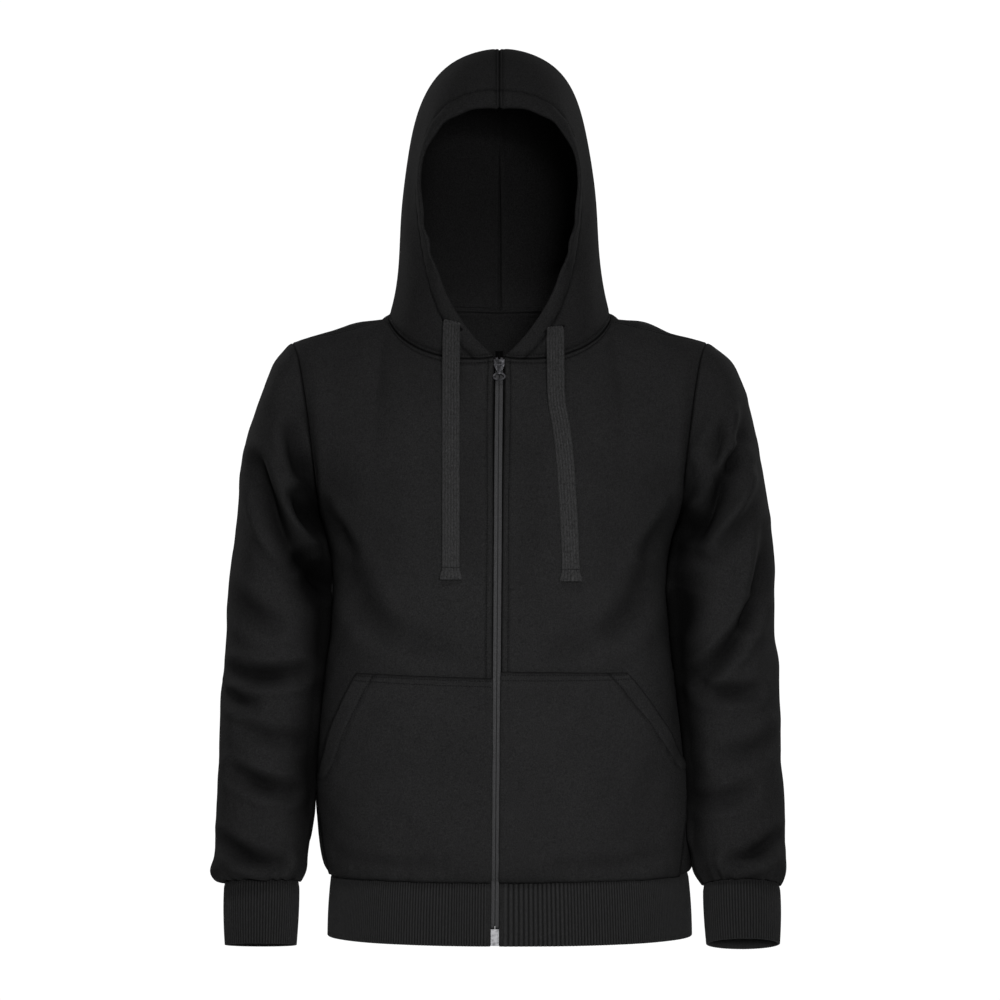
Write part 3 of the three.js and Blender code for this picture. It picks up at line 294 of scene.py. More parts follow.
def read_table(rows, key, value):
    """Every other column at the given values of the key, smooth through the rows."""
    order = np.argsort(rows[key])
    k = rows[key][order]
    last = len(k) - 1
    at = np.clip(np.asarray(value, float), k[0], k[-1])
    i = np.clip(np.searchsorted(k, at, side="left") - 1, 0, last - 1)
    before = np.maximum(i - 1, 0)
    after = np.minimum(i + 2, last)
    step = k[i + 1] - k[i]
    t = (at - k[i]) / step
    result = {}
    for name, column in rows.items():
        if name == key:
            continue
        c = column[order]
        slope_a = (c[i + 1] - c[before]) / (k[i + 1] - k[before])
        slope_b = (c[after] - c[i]) / (k[after] - k[i])
        result[name] = (
            c[i] * (2 * t**3 - 3 * t**2 + 1)
            + c[i + 1] * (3 * t**2 - 2 * t**3)
            + slope_a * step * (t**3 - 2 * t**2 + t)
            + slope_b * step * (t**3 - t**2)
        )
    return result


def power_of(value, power):
    return np.sign(value) * np.abs(value) ** power


def smooth_step(value):
    v = np.clip(value, 0, 1)
    return v * v * (3 - 2 * v)


def bell(value, width):
    """1 at zero, falling off softly on both sides."""
    return np.exp(-((value / width) ** 2))


FINEST_CELL = 0.7
CELL_GROWTH = 1.2


def graded(length, step, fine_start=True, fine_end=True):
    """Shares of a length, closer together at its fine ends, where the seams are."""
    sizes = []
    size = FINEST_CELL
    while size < step:
        sizes.append(size)
        size *= CELL_GROWTH
    start = sizes if fine_start else []
    end = sizes[::-1] if fine_end else []
    middle = max(1, round((length - sum(start) - sum(end)) / step))
    widths = np.array(start + [step] * middle + end)
    return np.concatenate([[0], np.cumsum(widths) / widths.sum()])


def unit(v):
    return v / np.maximum(np.linalg.norm(v, axis=-1, keepdims=True), 1e-9)


def run_along(points):
    """The length along a line of points, at each of them."""
    return np.concatenate([[0], np.cumsum(np.linalg.norm(np.diff(points, axis=0), axis=1))])


def resample(points, step):
    """A smooth line through given points, with points at even steps."""
    p = np.array(points, float)
    chords = np.sqrt(np.linalg.norm(np.diff(p, axis=0), axis=1))
    knots = np.concatenate([[0], np.cumsum(chords)])
    columns = {"k": knots, "x": p[:, 0], "y": p[:, 1], "z": p[:, 2]}
    fine = read_table(columns, "k", np.linspace(0, knots[-1], 40 * len(p)))
    line = np.stack([fine["x"], fine["y"], fine["z"]], -1)
    run = run_along(line)
    count = max(2, round(run[-1] / step))
    at = np.linspace(0, run[-1], count + 1)
    return np.stack([np.interp(at, run, line[:, c]) for c in range(3)], -1)


# Gentle unevenness: a sum of waves in random directions, the same on each run
WAVE_COUNT = 14


def make_waves(length):
    directions = unit(rng.normal(size=(WAVE_COUNT, 3)))
    scale = 2 * np.pi / (length * rng.uniform(0.7, 1.5, size=(WAVE_COUNT, 1)))
    return directions * scale, rng.uniform(0, 2 * np.pi, size=WAVE_COUNT)


def unevenness(places, waves):
    vectors, phases = waves
    return np.sin(places @ vectors.T + phases).sum(-1) / math.sqrt(len(phases))


LONG_WAVES = make_waves(95)
SHORT_WAVES = make_waves(34)


# A fold's line bows sideways by this share of its length
FOLD_BEND = 0.12 * 0.35


def fold_depth(x, z, folds, ridges=0.5):
    """Depth of the folds: a trough with a soft ridge on each side, fading at its ends."""
    depth = np.zeros_like(x)
    for x0, z0, x1, z1, reach, deep in zip(*folds.values()):
        along = np.array([x1 - x0, z1 - z0])
        share = ((x - x0) * along[0] + (z - z0) * along[1]) / (along @ along)
        t = np.clip(share, 0, 1)
        bend = FOLD_BEND * math.hypot(*along) * np.sin(math.pi * t) * (1 if deep > 0 else -1)
        across = unit(np.array([-along[1], along[0]]))
        off_x = x - x0 - along[0] * t - across[0] * bend
        off_z = z - z0 - along[1] * t - across[1] * bend
        away = np.hypot(off_x, off_z) / (0.8 * reach)
        fade = 0.55 + 0.45 * np.sin(math.pi * np.clip(share, 0, 1))
        ridge = ridges * np.exp(-((away - 1.7) ** 2) / 0.45)
        depth += deep * fade * (1.5 * np.exp(-(away**2)) - ridge)
    return depth


# Panels: a grid of places and outward directions
class Panel:
    def __init__(self, places, inside, group, tube=False):
        self.tube = tube
        self.group = group
        self.places = places
        self.inside = inside
        self.out = self.directions()
        self.shade = np.ones(places.shape[:2])

    def directions(self):
        p = self.places
        down = np.gradient(p, axis=0)
        if self.tube:
            across = (np.roll(p, -1, axis=1) - np.roll(p, 1, axis=1)) / 2
        else:
            across = np.gradient(p, axis=1)
        out = unit(np.cross(down, across))
        return out * np.sign((out * (p - self.inside)).sum())

    def border(self):
        rows, wide = self.places.shape[:2]
        places = {(i, j) for i in (0, rows - 1) for j in range(wide)}
        if not self.tube:
            places |= {(i, j) for i in range(rows) for j in (0, wide - 1)}
        return sorted(places)

    def edge_distances(self):
        """Length along the cloth from the top, bottom, left and right edge."""
        down = np.linalg.norm(np.diff(self.places, axis=0), axis=-1)
        across = np.linalg.norm(np.diff(self.places, axis=1), axis=-1)
        top = np.concatenate([np.zeros((1, down.shape[1])), np.cumsum(down, axis=0)])
        left = np.concatenate([np.zeros((across.shape[0], 1)), np.cumsum(across, axis=1)], axis=1)
        return {"top": top, "bottom": top[-1:] - top, "left": left, "right": left[:, -1:] - left}

    def relax(self, rounds):
        """Evens out small steps inside the panel, leaving its edges."""
        for _ in range(rounds):
            p = self.places
            if self.tube:
                beside = np.roll(p, 1, axis=1) + np.roll(p, -1, axis=1)
            else:
                beside = np.concatenate([p[:, :1], p[:, 2:], p[:, -1:]], axis=1)
                beside = beside + np.concatenate([p[:, :1], p[:, :-2], p[:, -1:]], axis=1)
            change = np.zeros_like(p)
            change[1:-1] = 0.5 * ((p[:-2] + p[2:] + beside[1:-1]) / 4 - p[1:-1])
            if not self.tube:
                change[:, [0, -1]] = 0
            self.places = p + self.out * (change * self.out).sum(-1, keepdims=True)
        self.out = self.directions()

    def move_out(self, distance):
        self.places = self.places + self.out * distance[..., None]

    def line(self, edge, distance, part=slice(None)):
        """Points and outward directions along one edge, at a distance from it."""
        lengths = self.edge_distances()[edge]
        upright = edge in ("top", "bottom")
        p = self.places if upright else self.places.swapaxes(0, 1)
        n = self.out if upright else self.out.swapaxes(0, 1)
        d = lengths if upright else lengths.T
        if edge in ("bottom", "right"):
            p, n, d = p[::-1], n[::-1], d[::-1]
        points, outs = [], []
        for k in range(p.shape[1])[part]:
            points.append([np.interp(distance, d[:, k], p[:, k, c]) for c in range(3)])
            outs.append([np.interp(distance, d[:, k], n[:, k, c]) for c in range(3)])
        return np.array(points), unit(np.array(outs))


def find_meetings(panels):
    """Groups of border points of several panels that lie on the same spot."""
    spots = [(panel, cell) for panel in panels for cell in panel.border()]
    tree = KDTree(len(spots))
    for n, (panel, cell) in enumerate(spots):
        tree.insert(panel.places[cell], n)
    tree.balance()
    left = set(range(len(spots)))
    meetings = []
    for n, (panel, cell) in enumerate(spots):
        if n not in left:
            continue
        met = [k for _, k, _ in tree.find_range(panel.places[cell], 0.05)]
        left -= set(met)
        if len(met) > 1:
            meetings.append([spots[k] for k in met])
    return meetings


def join_panels(meetings):
    """At every seam the panels take one shared place and one shared outward direction."""
    for met in meetings:
        groups = {}
        for panel, cell in met:
            groups.setdefault(panel.group, []).append(panel.out[cell])
        shared = unit(sum(unit(np.sum(outs, axis=0)) for outs in groups.values()))
        place = np.mean([panel.places[cell] for panel, cell in met], axis=0)
        for panel, cell in met:
            panel.out[cell] = shared
            panel.places[cell] = place


def new_object(name, vertices, faces):
    mesh = bpy.data.meshes.new(name)
    mesh.from_pydata([tuple(v) for v in np.asarray(vertices) * MM], [], faces)
    mesh.validate()
    made = bpy.data.objects.new(name, mesh)
    bpy.context.scene.collection.objects.link(made)
    # Every piece starts with no painted shade
    add_shades(made, np.ones(0))
    work = bmesh.new()
    work.from_mesh(mesh)
    bmesh.ops.recalc_face_normals(work, faces=work.faces)
    work.to_mesh(mesh)
    work.free()
    mesh.shade_smooth()
    return made


def add_shades(piece, shades, edges=1.0):
    """Painted shade at each point, multiplied into the colour: 1 on a ridge and less down in a groove."""
    layers = piece.data.color_attributes
    layer = layers.get("depth_shade") or layers.new("depth_shade", "FLOAT_COLOR", "POINT")
    values = np.ones((len(piece.data.vertices), 4), np.float32)
    values[: len(shades), :3] = shades[:, None]
    values[len(shades) :, :3] = edges
    layer.data.foreach_set("color", values.ravel())


def shell(name, panel, thickness, round_edges=(), steps=3):
    """A closed wall of cloth: outer surface, inner surface and edges, rounded where the edge is free."""
    outer = panel.places
    inner = outer - panel.out * np.broadcast_to(thickness, outer.shape[:2])[..., None]
    rows, wide = outer.shape[:2]
    count = rows * wide
    vertices = [outer.reshape(-1, 3), inner.reshape(-1, 3)]
    index = np.arange(count).reshape(rows, wide)
    faces = []

    def add_quads(a, b, c, d):
        faces.extend(np.stack([a.ravel(), b.ravel(), c.ravel(), d.ravel()], -1).tolist())

    right = np.roll(index, -1, axis=1) if panel.tube else index[:, 1:]
    here = index if panel.tube else index[:, :-1]
    add_quads(here[:-1], right[:-1], right[1:], here[1:])
    add_quads(here[:-1] + count, here[1:] + count, right[1:] + count, right[:-1] + count)

    # Each border is a list of grid places with the direction that leads out over the edge
    if panel.tube:
        borders = [
            (index[0], outer[0] - outer[1], ["top"] * wide),
            (index[-1], outer[-1] - outer[-2], ["bottom"] * wide),
        ]
    else:
        ring = np.concatenate([index[0], index[1:, -1], index[-1, -2::-1], index[-2:0:-1, 0]])
        leads = np.concatenate(
            [
                outer[0] - outer[1],
                outer[1:, -1] - outer[1:, -2],
                (outer[-1] - outer[-2])[-2::-1],
                (outer[:, 0] - outer[:, 1])[-2:0:-1],
            ]
        )
        sides = ["top"] * wide + ["right"] * (rows - 1) + ["bottom"] * (wide - 1) + ["left"] * (rows - 2)
        borders = [(ring, leads, sides)]
    start = 2 * count
    for ring, leads, sides in borders:
        flat_outer = outer.reshape(-1, 3)[ring]
        flat_inner = inner.reshape(-1, 3)[ring]
        half = (flat_outer - flat_inner) / 2
        bulge = np.array([0.9 if side in round_edges else 0.0 for side in sides])
        over = unit(leads) * np.linalg.norm(half, axis=-1, keepdims=True) * bulge[:, None]
        loops = [ring]
        for k in range(1, steps + 1):
            angle = math.pi * k / (steps + 1)
            vertices.append((flat_outer + flat_inner) / 2 + half * math.cos(angle) + over * math.sin(angle))
            loops.append(start + np.arange(len(ring)))
            start += len(ring)
        loops.append(ring + count)
        for a, b in zip(loops[:-1], loops[1:]):
            add_quads(a, b, np.roll(b, -1), np.roll(a, -1))
    return new_object(name, np.concatenate(vertices), faces)


# Materials
def new_material(name):
    material = bpy.data.materials.new(name)
    material.use_nodes = True
    nodes = material.node_tree.nodes
    return material, nodes, material.node_tree.links, nodes["Principled BSDF"]


def add_node(nodes, kind, **settings):
    node = nodes.new(kind)
    for key, value in settings.items():
        if key in node.inputs:
            node.inputs[key].default_value = value
        else:
            setattr(node, key, value)
    return node


def colour_ramp(nodes, low, high, start=0.3, end=0.7):
    ramp = nodes.new("ShaderNodeValToRGB")
    ramp.color_ramp.elements[0].position = start
    ramp.color_ramp.elements[0].color = (*low, 1)
    ramp.color_ramp.elements[1].position = end
    ramp.color_ramp.elements[1].color = (*high, 1)
    return ramp


def texture(nodes, links, place, kind, **settings):
    """A texture that reads the given place."""
    made = add_node(nodes, kind, **settings)
    links.new(place, made.inputs["Vector"])
    return made


def multiplied(nodes, links, colour, by):
    """One colour multiplied by another."""
    mix = add_node(nodes, "ShaderNodeMix", data_type="RGBA", blend_type="MULTIPLY")
    mix.inputs["Factor"].default_value = 1.0
    links.new(colour, mix.inputs["A"])
    links.new(by, mix.inputs["B"])
    return mix.outputs["Result"]


def colour_with_painted_shade(nodes, links, shader, colour):
    """The cloth takes the colour, multiplied by the painted shade of its shade attribute."""
    depth = add_node(nodes, "ShaderNodeAttribute", attribute_name="depth_shade")
    links.new(multiplied(nodes, links, colour, depth.outputs["Color"]), shader.inputs["Base Color"])


def add_bump(nodes, links, height, onto, **settings):
    """A bump from a height, whose normal goes onto the next socket."""
    bump = add_node(nodes, "ShaderNodeBump", **settings)
    links.new(height, bump.inputs["Height"])
    links.new(bump.outputs["Normal"], onto)
    return bump.inputs["Normal"]


def brushed_fleece(name, low, high):
    """Matt knit with a short brushed nap: flecked colour, soft fuzz and a trace of the knit below."""
    material, nodes, links, shader = new_material(name)
    place = nodes.new("ShaderNodeTexCoord").outputs["Object"]
    fleck = texture(nodes, links, place, "ShaderNodeTexNoise", Scale=860.0, Detail=4.0, Roughness=0.75)
    cloud = texture(nodes, links, place, "ShaderNodeTexNoise", Scale=16.0, Detail=3.0, Roughness=0.5)
    nap = texture(nodes, links, place, "ShaderNodeTexNoise", Scale=900.0, Detail=5.0, Roughness=0.8)
    pill = texture(nodes, links, place, "ShaderNodeTexVoronoi", Scale=260.0)
    ramp = colour_ramp(nodes, low, high, 0.38, 0.64)
    patches = colour_ramp(nodes, (0.93, 0.93, 0.93), (1.07, 1.07, 1.07))
    links.new(fleck.outputs["Fac"], ramp.inputs["Fac"])
    links.new(cloud.outputs["Fac"], patches.inputs["Fac"])
    colour = multiplied(nodes, links, ramp.outputs["Color"], patches.outputs["Color"])
    colour_with_painted_shade(nodes, links, shader, colour)
    onto = shader.inputs["Normal"]
    onto = add_bump(nodes, links, nap.outputs["Fac"], onto, Strength=0.35, Distance=0.0006)
    add_bump(nodes, links, pill.outputs["Distance"], onto, Strength=0.18, Distance=0.0008)
    shader.inputs["Roughness"].default_value = 0.96
    shader.inputs["Specular IOR Level"].default_value = 0.02
    return material


def knit_yarn(name, low, high, scale, axis_scale, sheen, bump_deep=0.0007):
    """Yarn with fine stitches along it, for ribs, cords and stitches."""
    material, nodes, links, shader = new_material(name)
    place = nodes.new("ShaderNodeTexCoord").outputs["Object"]
    stretch = texture(nodes, links, place, "ShaderNodeMapping")
    stretch.inputs["Scale"].default_value = axis_scale
    place = stretch.outputs["Vector"]
    fibre = texture(nodes, links, place, "ShaderNodeTexNoise", Scale=scale, Detail=4.0, Roughness=0.7)
    loops = texture(nodes, links, place, "ShaderNodeTexVoronoi", Scale=scale * 0.62)
    ramp = colour_ramp(nodes, low, high, 0.3, 0.72)
    links.new(fibre.outputs["Fac"], ramp.inputs["Fac"])
    colour_with_painted_shade(nodes, links, shader, ramp.outputs["Color"])
    deep = {"Distance": bump_deep}
    onto = add_bump(nodes, links, fibre.outputs["Fac"], shader.inputs["Normal"], Strength=0.45, **deep)
    add_bump(nodes, links, loops.outputs["Distance"], onto, Strength=0.4, invert=True, **deep)
    shader.inputs["Roughness"].default_value = 0.9
    shader.inputs["Specular IOR Level"].default_value = 0.04
    shader.inputs["Sheen Weight"].default_value = sheen
    shader.inputs["Sheen Roughness"].default_value = 0.5
    return material


def polished_metal(name, colour, roughness):
    material, nodes, links, shader = new_material(name)
    place = nodes.new("ShaderNodeTexCoord").outputs["Object"]
    wear = texture(nodes, links, place, "ShaderNodeTexNoise", Scale=380.0, Detail=3.0)
    ramp = colour_ramp(nodes, (roughness * 0.7,) * 3, (roughness * 1.5,) * 3)
    links.new(wear.outputs["Fac"], ramp.inputs["Fac"])
    links.new(ramp.outputs["Color"], shader.inputs["Roughness"])
    shader.inputs["Base Color"].default_value = (*colour, 1)
    shader.inputs["Metallic"].default_value = 1.0
    return material


FLEECE = brushed_fleece("fleece", (0.0058, 0.0058, 0.0059), (0.0152, 0.0152, 0.0154))
RIB = knit_yarn("rib", (0.0105, 0.0105, 0.0107), (0.0175, 0.0175, 0.0178), 640.0, (1, 1, 0.55), 0.02)
CORD = knit_yarn("cord", (0.0075, 0.0075, 0.0076), (0.031, 0.031, 0.0315), 700.0, (1, 1, 0.7), 0.03, 0.0009)
TAPE = knit_yarn(
    "zip_tape", (0.016, 0.016, 0.0165), (0.042, 0.042, 0.0435), 1100.0, (1, 1, 0.8), 0.02, 0.0004
)
# Black thread, coloured darker than the fleece: its own dark colour together with painted shade of the
# stitch holes
THREAD_WITH_PAINTED_SHADE = knit_yarn(
    "thread", (0.0016, 0.0016, 0.0017), (0.006, 0.006, 0.0062), 1500.0, (1, 1, 1), 0.0, 0.0002
)
METAL = polished_metal("zip_metal", (0.02, 0.02, 0.0215), 0.5)
BRIGHT_METAL = polished_metal("zip_box_metal", (0.12, 0.12, 0.125), 0.42)


def dress(piece, material, slot, *nodes, body=BODY):
    piece.data.materials.append(material)
    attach(piece, body)
    if nodes:
        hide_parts(*nodes)


# Drawcords: flat braided cord with ribs along it, and its folded, stitched end
CORD_RIBS = 6
CORD_STEPS_ACROSS = 12 * CORD_RIBS
TIP_STEPS = 15


def cord_section(half_wide, half_thick):
    """A closed outline across the cord: a rounded slab with ribs on both faces."""
    outline = []
    for k in range(CORD_STEPS_ACROSS + 1):
        x = 1 - 2 * k / CORD_STEPS_ACROSS
        body = (1 - abs(x) ** 5) ** 0.5
        rib = abs(math.sin(math.pi * CORD_RIBS * (x + 1) / 2)) ** 0.6
        outline.append((x * half_wide, body * half_thick * (0.78 + 0.22 * rib)))
    lower = [(x, -y) for x, y in outline[::-1][1:-1]]
    return np.array(outline + lower)


def sweep(name, line, outlines, across, slants=None):
    """Outlines set along a line: across is their width's direction, slants shifts points along the line."""
    vertices, faces = [], []
    ahead = unit(np.gradient(line, axis=0))
    side = unit(across - (across * ahead).sum(-1, keepdims=True) * ahead)
    front = np.cross(ahead, side)
    count = len(outlines[0])
    if slants is None:
        slants = np.zeros((len(line), count))
    for p, a, s, f, outline, slant in zip(line, ahead, side, front, outlines, slants):
        vertices.append(p + outline[:, :1] * s + outline[:, 1:] * f + slant[:, None] * a)
    for i in range(len(line) - 1):
        for j in range(count):
            k = (j + 1) % count
            faces.append((i * count + j, i * count + k, (i + 1) * count + k, (i + 1) * count + j))
    middle = len(line) * count
    vertices.append([vertices[0].mean(0), vertices[-1].mean(0)])
    for j in range(count):
        k = (j + 1) % count
        faces.append((middle, k, j))
        faces.append((middle + 1, (len(line) - 1) * count + j, (len(line) - 1) * count + k))
    return new_object(name, np.concatenate(vertices), faces)


def cord_shades(count):
    """Painted shade in the grooves between the ribs of a cord, for each point of its outline."""
    x = 1 - 2 * np.arange(CORD_STEPS_ACROSS + 1) / CORD_STEPS_ACROSS
    upper = 0.68 + 0.32 * np.abs(np.sin(np.pi * CORD_RIBS * (x + 1) / 2)) ** 0.8
    return np.tile(np.concatenate([upper, upper[::-1][1:-1]]), count)


for side_name, route in CORD_ROUTES.items():
    line = resample(route, CORD_STEP)
    section = cord_section(CORD_HALF_WIDE, CORD_HALF_THICK)
    run = np.arange(len(line)) * CORD_STEP
    sway = 0.25 * np.sin(run * 0.13 + (0 if side_name == "left" else 2))
    across = np.stack([np.ones(len(line)), 0.06 * sway, np.zeros(len(line))], -1)
    across[:, 1] += CORD_TWISTS[side_name] * np.exp(-run / CORD_TWIST_FADE)
    outlines = [section * (1 + 0.02 * s) for s in sway]
    slope = CORD_SLANTS[side_name]
    reach = np.clip(1 - run / CORD_SLANT_FADE, 0, 1)[:, None]
    slants = reach * (slope * section[:, 0] + abs(slope) * CORD_HALF_WIDE)
    cord = sweep("drawcord_" + side_name + "_braid", line, outlines, across, slants)
    end = line[-1]
    tip_shares = np.linspace(0, 1, TIP_STEPS)
    tip_line = np.array([end + (0, -0.3 - 0.2 * t, -0.2 - CORD_TIP_LENGTH * t) for t in tip_shares])
    tip_outlines = []
    for t in tip_shares:
        wide = CORD_HALF_WIDE + (CORD_TIP_HALF_WIDE - CORD_HALF_WIDE) * smooth_step(t * 1.15)
        pinch = 1.25 - 0.42 * math.exp(-(((t - 0.3) / 0.1) ** 2)) - 0.55 * max(0, t - 0.72)
        tip_outlines.append(cord_section(wide, CORD_HALF_THICK * pinch))
    tip_across = np.tile((1.0, 0, 0), (TIP_STEPS, 1))
    tip = sweep("drawcord_tip_" + side_name + "_folded", tip_line, tip_outlines, tip_across)
    # Painted shade in the grooves of the cord and its tip
    add_shades(cord, cord_shades(len(line)))
    add_shades(tip, cord_shades(TIP_STEPS))
    dress(cord, CORD, "cord", "drawcord_" + side_name)
    dress(tip, CORD, "cord", "drawcord_tip_" + side_name)


# Body panels
def zip_x(z):
    return ZIP_DRIFT * np.clip(z / HEM_BOTTOM_Z, 0, 1)


def ring_place(z, turn, side):
    ring = read_table(BODY_RINGS, "z", z)
    angle = np.radians(turn)
    depth = np.where(turn > 90, ring["back"], ring["front"])
    x = side * ring["wide"] * power_of(np.sin(angle), 2 / ring["round"]) + ring["shift"]
    y = -depth * power_of(np.cos(angle), 2 / ring["round"])
    return np.stack([x, y, np.broadcast_to(z, x.shape)], -1)


def front_ring_place(z, share, side):
    place = ring_place(z, 90 * share, side)
    pull = np.clip(1 - share * 3, 0, 1)
    shift = read_table(BODY_RINGS, "z", z)["shift"]
    place[..., 0] += (side * ZIP_HALF_GAP - shift) * pull + zip_x(z) * (1 - share)
    return place


def handles_at(rows, key, value, side):
    h = read_table(rows, key, value)
    rise = np.stack([side * h["riseX"], h["riseY"], h["riseZ"]], -1)
    fall = np.stack([side * h["fallX"], h["fallY"], h["fallZ"]], -1)
    return rise, fall


def columns_between(start, end, rise, fall, shares):
    """Cubic columns from the start line to the end line, one row for each share."""
    points = [start, start + rise, end + fall, end]
    weights = [[(1 - t) ** 3, 3 * (1 - t) ** 2 * t, 3 * (1 - t) * t**2, t**3] for t in shares]
    return np.tensordot(np.array(weights), np.stack(points), axes=1)


def sided(places, side):
    return places * np.array([side, 1, 1])


# Places along the top edges: neckline steps 0 to 4, then shoulder or back neck steps 4 to 9
CELL = 3.6
NECK_J = 4 * graded(145, CELL, fine_end=False)
SHOULDER_J = 4 + 5 * graded(150, CELL, fine_start=False)
BACK_NECK_J = 4 + 5 * graded(145, CELL, fine_start=False)
FRONT_J = np.concatenate([NECK_J, SHOULDER_J[1:]])
HOOD_J = np.concatenate([NECK_J, BACK_NECK_J[1:]])
BACK_K = np.concatenate([9 - SHOULDER_J[::-1], BACK_NECK_J[1:] + 1])
UPPER_T = graded(215, CELL)
LOWER_Z = ARMPIT_Z + (HEM_TOP_Z - ARMPIT_Z) * graded(386, CELL + 0.2)[1:]
NECK_COLUMNS = len(NECK_J)


def neck_place(j, side):
    t = read_table(NECK_STEPS, "j", np.minimum(j, 4))["t"]
    neck = sided(cubic(FRONT_NECK, t), side)
    neck[..., 0] += zip_x(neck[..., 2]) * (1 - t)
    return neck


def front_top(j, side):
    shoulder = sided(cubic(SHOULDER, np.maximum(j - 4, 0) / 5), side)
    return np.where((j <= 4)[:, None], neck_place(j, side), shoulder)


def back_top(k, side):
    shoulder = sided(cubic(SHOULDER, np.clip(1 - k / 5, 0, 1)), side)
    neck = sided(cubic(BACK_NECK, np.clip((k - 5) / 5, 0, 1)), side)
    return np.where((k <= 5)[:, None], shoulder, neck)


def front_panel(side):
    share = FRONT_J / 9
    rise, fall = handles_at(FRONT_COLUMNS, "u", share, side)
    start = front_ring_place(np.full(len(share), float(ARMPIT_Z)), share, side)
    upper = columns_between(start, front_top(FRONT_J, side), rise, fall, 1 - UPPER_T)
    upper[:, -1] = sided(cubic(ARMHOLE_FRONT, 1 - UPPER_T), side)
    lower = np.stack([front_ring_place(np.full(len(share), z), share, side) for z in LOWER_Z])
    return Panel(np.concatenate([upper, lower]), np.array([0, 0, -300]), "body")


def back_half(side):
    share = BACK_K / 10
    rise, fall = handles_at(BACK_COLUMNS, "u", share, side)
    start = ring_place(np.full(len(share), float(ARMPIT_Z)), 90 + 90 * share, side)
    upper = columns_between(start, back_top(BACK_K, side), rise, fall, 1 - UPPER_T)
    upper[:, 0] = sided(cubic(ARMHOLE_BACK, 1 - UPPER_T), side)
    lower = np.stack([ring_place(np.full(len(share), z), 90 + 90 * share, side) for z in LOWER_Z])
    return np.concatenate([upper, lower])


def back_panel():
    right, left = back_half(-1), back_half(1)
    return Panel(np.concatenate([right, left[:, -2::-1]], axis=1), np.array([0, 0, -300]), "body")


# Sleeves
def beside_body(places, side):
    """The sleeve rests on the side of the body, so no point of it goes further in than that."""
    ring = read_table(BODY_RINGS, "z", places[..., 2])
    depth = np.where(places[..., 1] < 0, ring["front"], ring["back"])
    away = np.clip(np.abs(places[..., 1]) / depth, 0, 1)
    wall = ring["wide"] * (1 - away ** ring["round"]) ** (1 / ring["round"])
    wall = wall + side * ring["shift"] + REST_GAP
    places[..., 0] = side * np.maximum(side * places[..., 0], wall)
    return places


def sleeve_panel(name, side):
    cuff = CUFFS[name]
    c = {key: column.copy() for key, column in SLEEVE_LOOPS.items()}
    c["xOut"] += c[name]
    last = {
        "xOut": cuff["x"] + cuff["half_wide"],
        "zOut": cuff["z"],
        "xIn": cuff["x"] - cuff["half_wide"],
        "zIn": cuff["z"],
        "front": cuff["y"] - cuff["half_deep"],
        "back": cuff["y"] + cuff["half_deep"],
        "lean": 1,
    }
    c = {key: np.append(c[key], value)[:, None] for key, value in last.items()}
    # The columns go from the shoulder tip down the front to the armpit and up the back
    turn = np.radians(np.concatenate([180 * UPPER_T, 180 + 180 * UPPER_T[1:-1]]))
    outward = power_of(np.cos(turn), 2 / SLEEVE_ROUND)[None, :]
    forward = power_of(np.sin(turn), 2 / SLEEVE_ROUND)[None, :]
    tilt = np.radians(cuff["lean"] * c["lean"])
    deep = forward * (c["back"] - c["front"]) / 2
    x = side * ((c["xOut"] + c["xIn"]) / 2 + outward * (c["xOut"] - c["xIn"]) / 2)
    y = (c["front"] + c["back"]) / 2 - deep * np.cos(tilt)
    z = (c["zOut"] + c["zIn"]) / 2 + outward * (c["zOut"] - c["zIn"]) / 2 + deep * np.sin(tilt)
    rings = beside_body(np.stack([x, y, z], -1), side)
    ahead = sided(cubic(ARMHOLE_FRONT, 1 - UPPER_T), side)
    behind = sided(cubic(ARMHOLE_BACK, UPPER_T), side)[1:-1]
    rings = np.concatenate([np.concatenate([ahead, behind])[None], rings])
    keys = np.concatenate([[0], np.cumsum(np.linalg.norm(np.diff(rings, axis=0), axis=-1).mean(1))])
    flat = rings.reshape(len(keys), -1)
    columns = {"k": keys, **{n: flat[:, n] for n in range(flat.shape[1])}}
    fine = read_table(columns, "k", keys[-1] * graded(590, CELL + 0.1))
    grid = np.stack([fine[n] for n in range(flat.shape[1])], -1).reshape(-1, *rings.shape[1:])
    return Panel(grid, grid.mean(1, keepdims=True), name, tube=True)


# Hood
def hood_panel(side):
    s = read_table(HOOD_SHARES, "j", HOOD_J)["s"]
    neck = sided(cubic(BACK_NECK, np.clip((HOOD_J - 4) / 5, 0, 1)), side)
    start = np.where((HOOD_J <= 4)[:, None], neck_place(HOOD_J, side), neck)
    top = read_table(HOOD_TOP, "s", s)
    end = np.stack([np.zeros(len(s)), top["y"], top["z"]], -1)
    rise, fall = handles_at(HOOD_COLUMNS, "s", s, side)
    shares = 1 - graded(300, CELL)
    return Panel(columns_between(start, end, rise, fall, shares), np.array([0, 0, 110]), "hood")


fronts = {"left": front_panel(1), "right": front_panel(-1)}
back = back_panel()
sleeves = {"left": sleeve_panel("left", 1), "right": sleeve_panel("right", -1)}
hoods = {"left": hood_panel(1), "right": hood_panel(-1)}
panels = [*fronts.values(), back, *sleeves.values(), *hoods.values()]
meetings = find_meetings(panels)
for panel in panels:
    panel.relax(3 if panel.tube else 6)
join_panels(meetings)


# Seams, stitches, folds, and the painted shade down in them
SEAM_GROOVE = 1.5
STITCH_GROOVE = 0.7
# Painted shade: how much darker the colour is made in a seam, a row of stitches, a fold's trough and a
# sleeve's hollow
SEAM_SHADE = 0.5
STITCH_SHADE = 0.3
FOLD_SHADE = 0.04
HOLLOW_SHADE = 0.06
STITCH_BESIDE_SEAM = 5.5
STITCH_BESIDE_ZIP = 6.8
HOOD_SEAM_STITCH = 4
CALM_BESIDE_EDGE = 9
HOOD_CALM = 12
RIM_CALM = 30
SLEEVE_FOLD_GAIN = 2.0
SLEEVE_GIRTH = 260
SLEEVE_GATHERS = 17
HOLLOW_FADE = 25


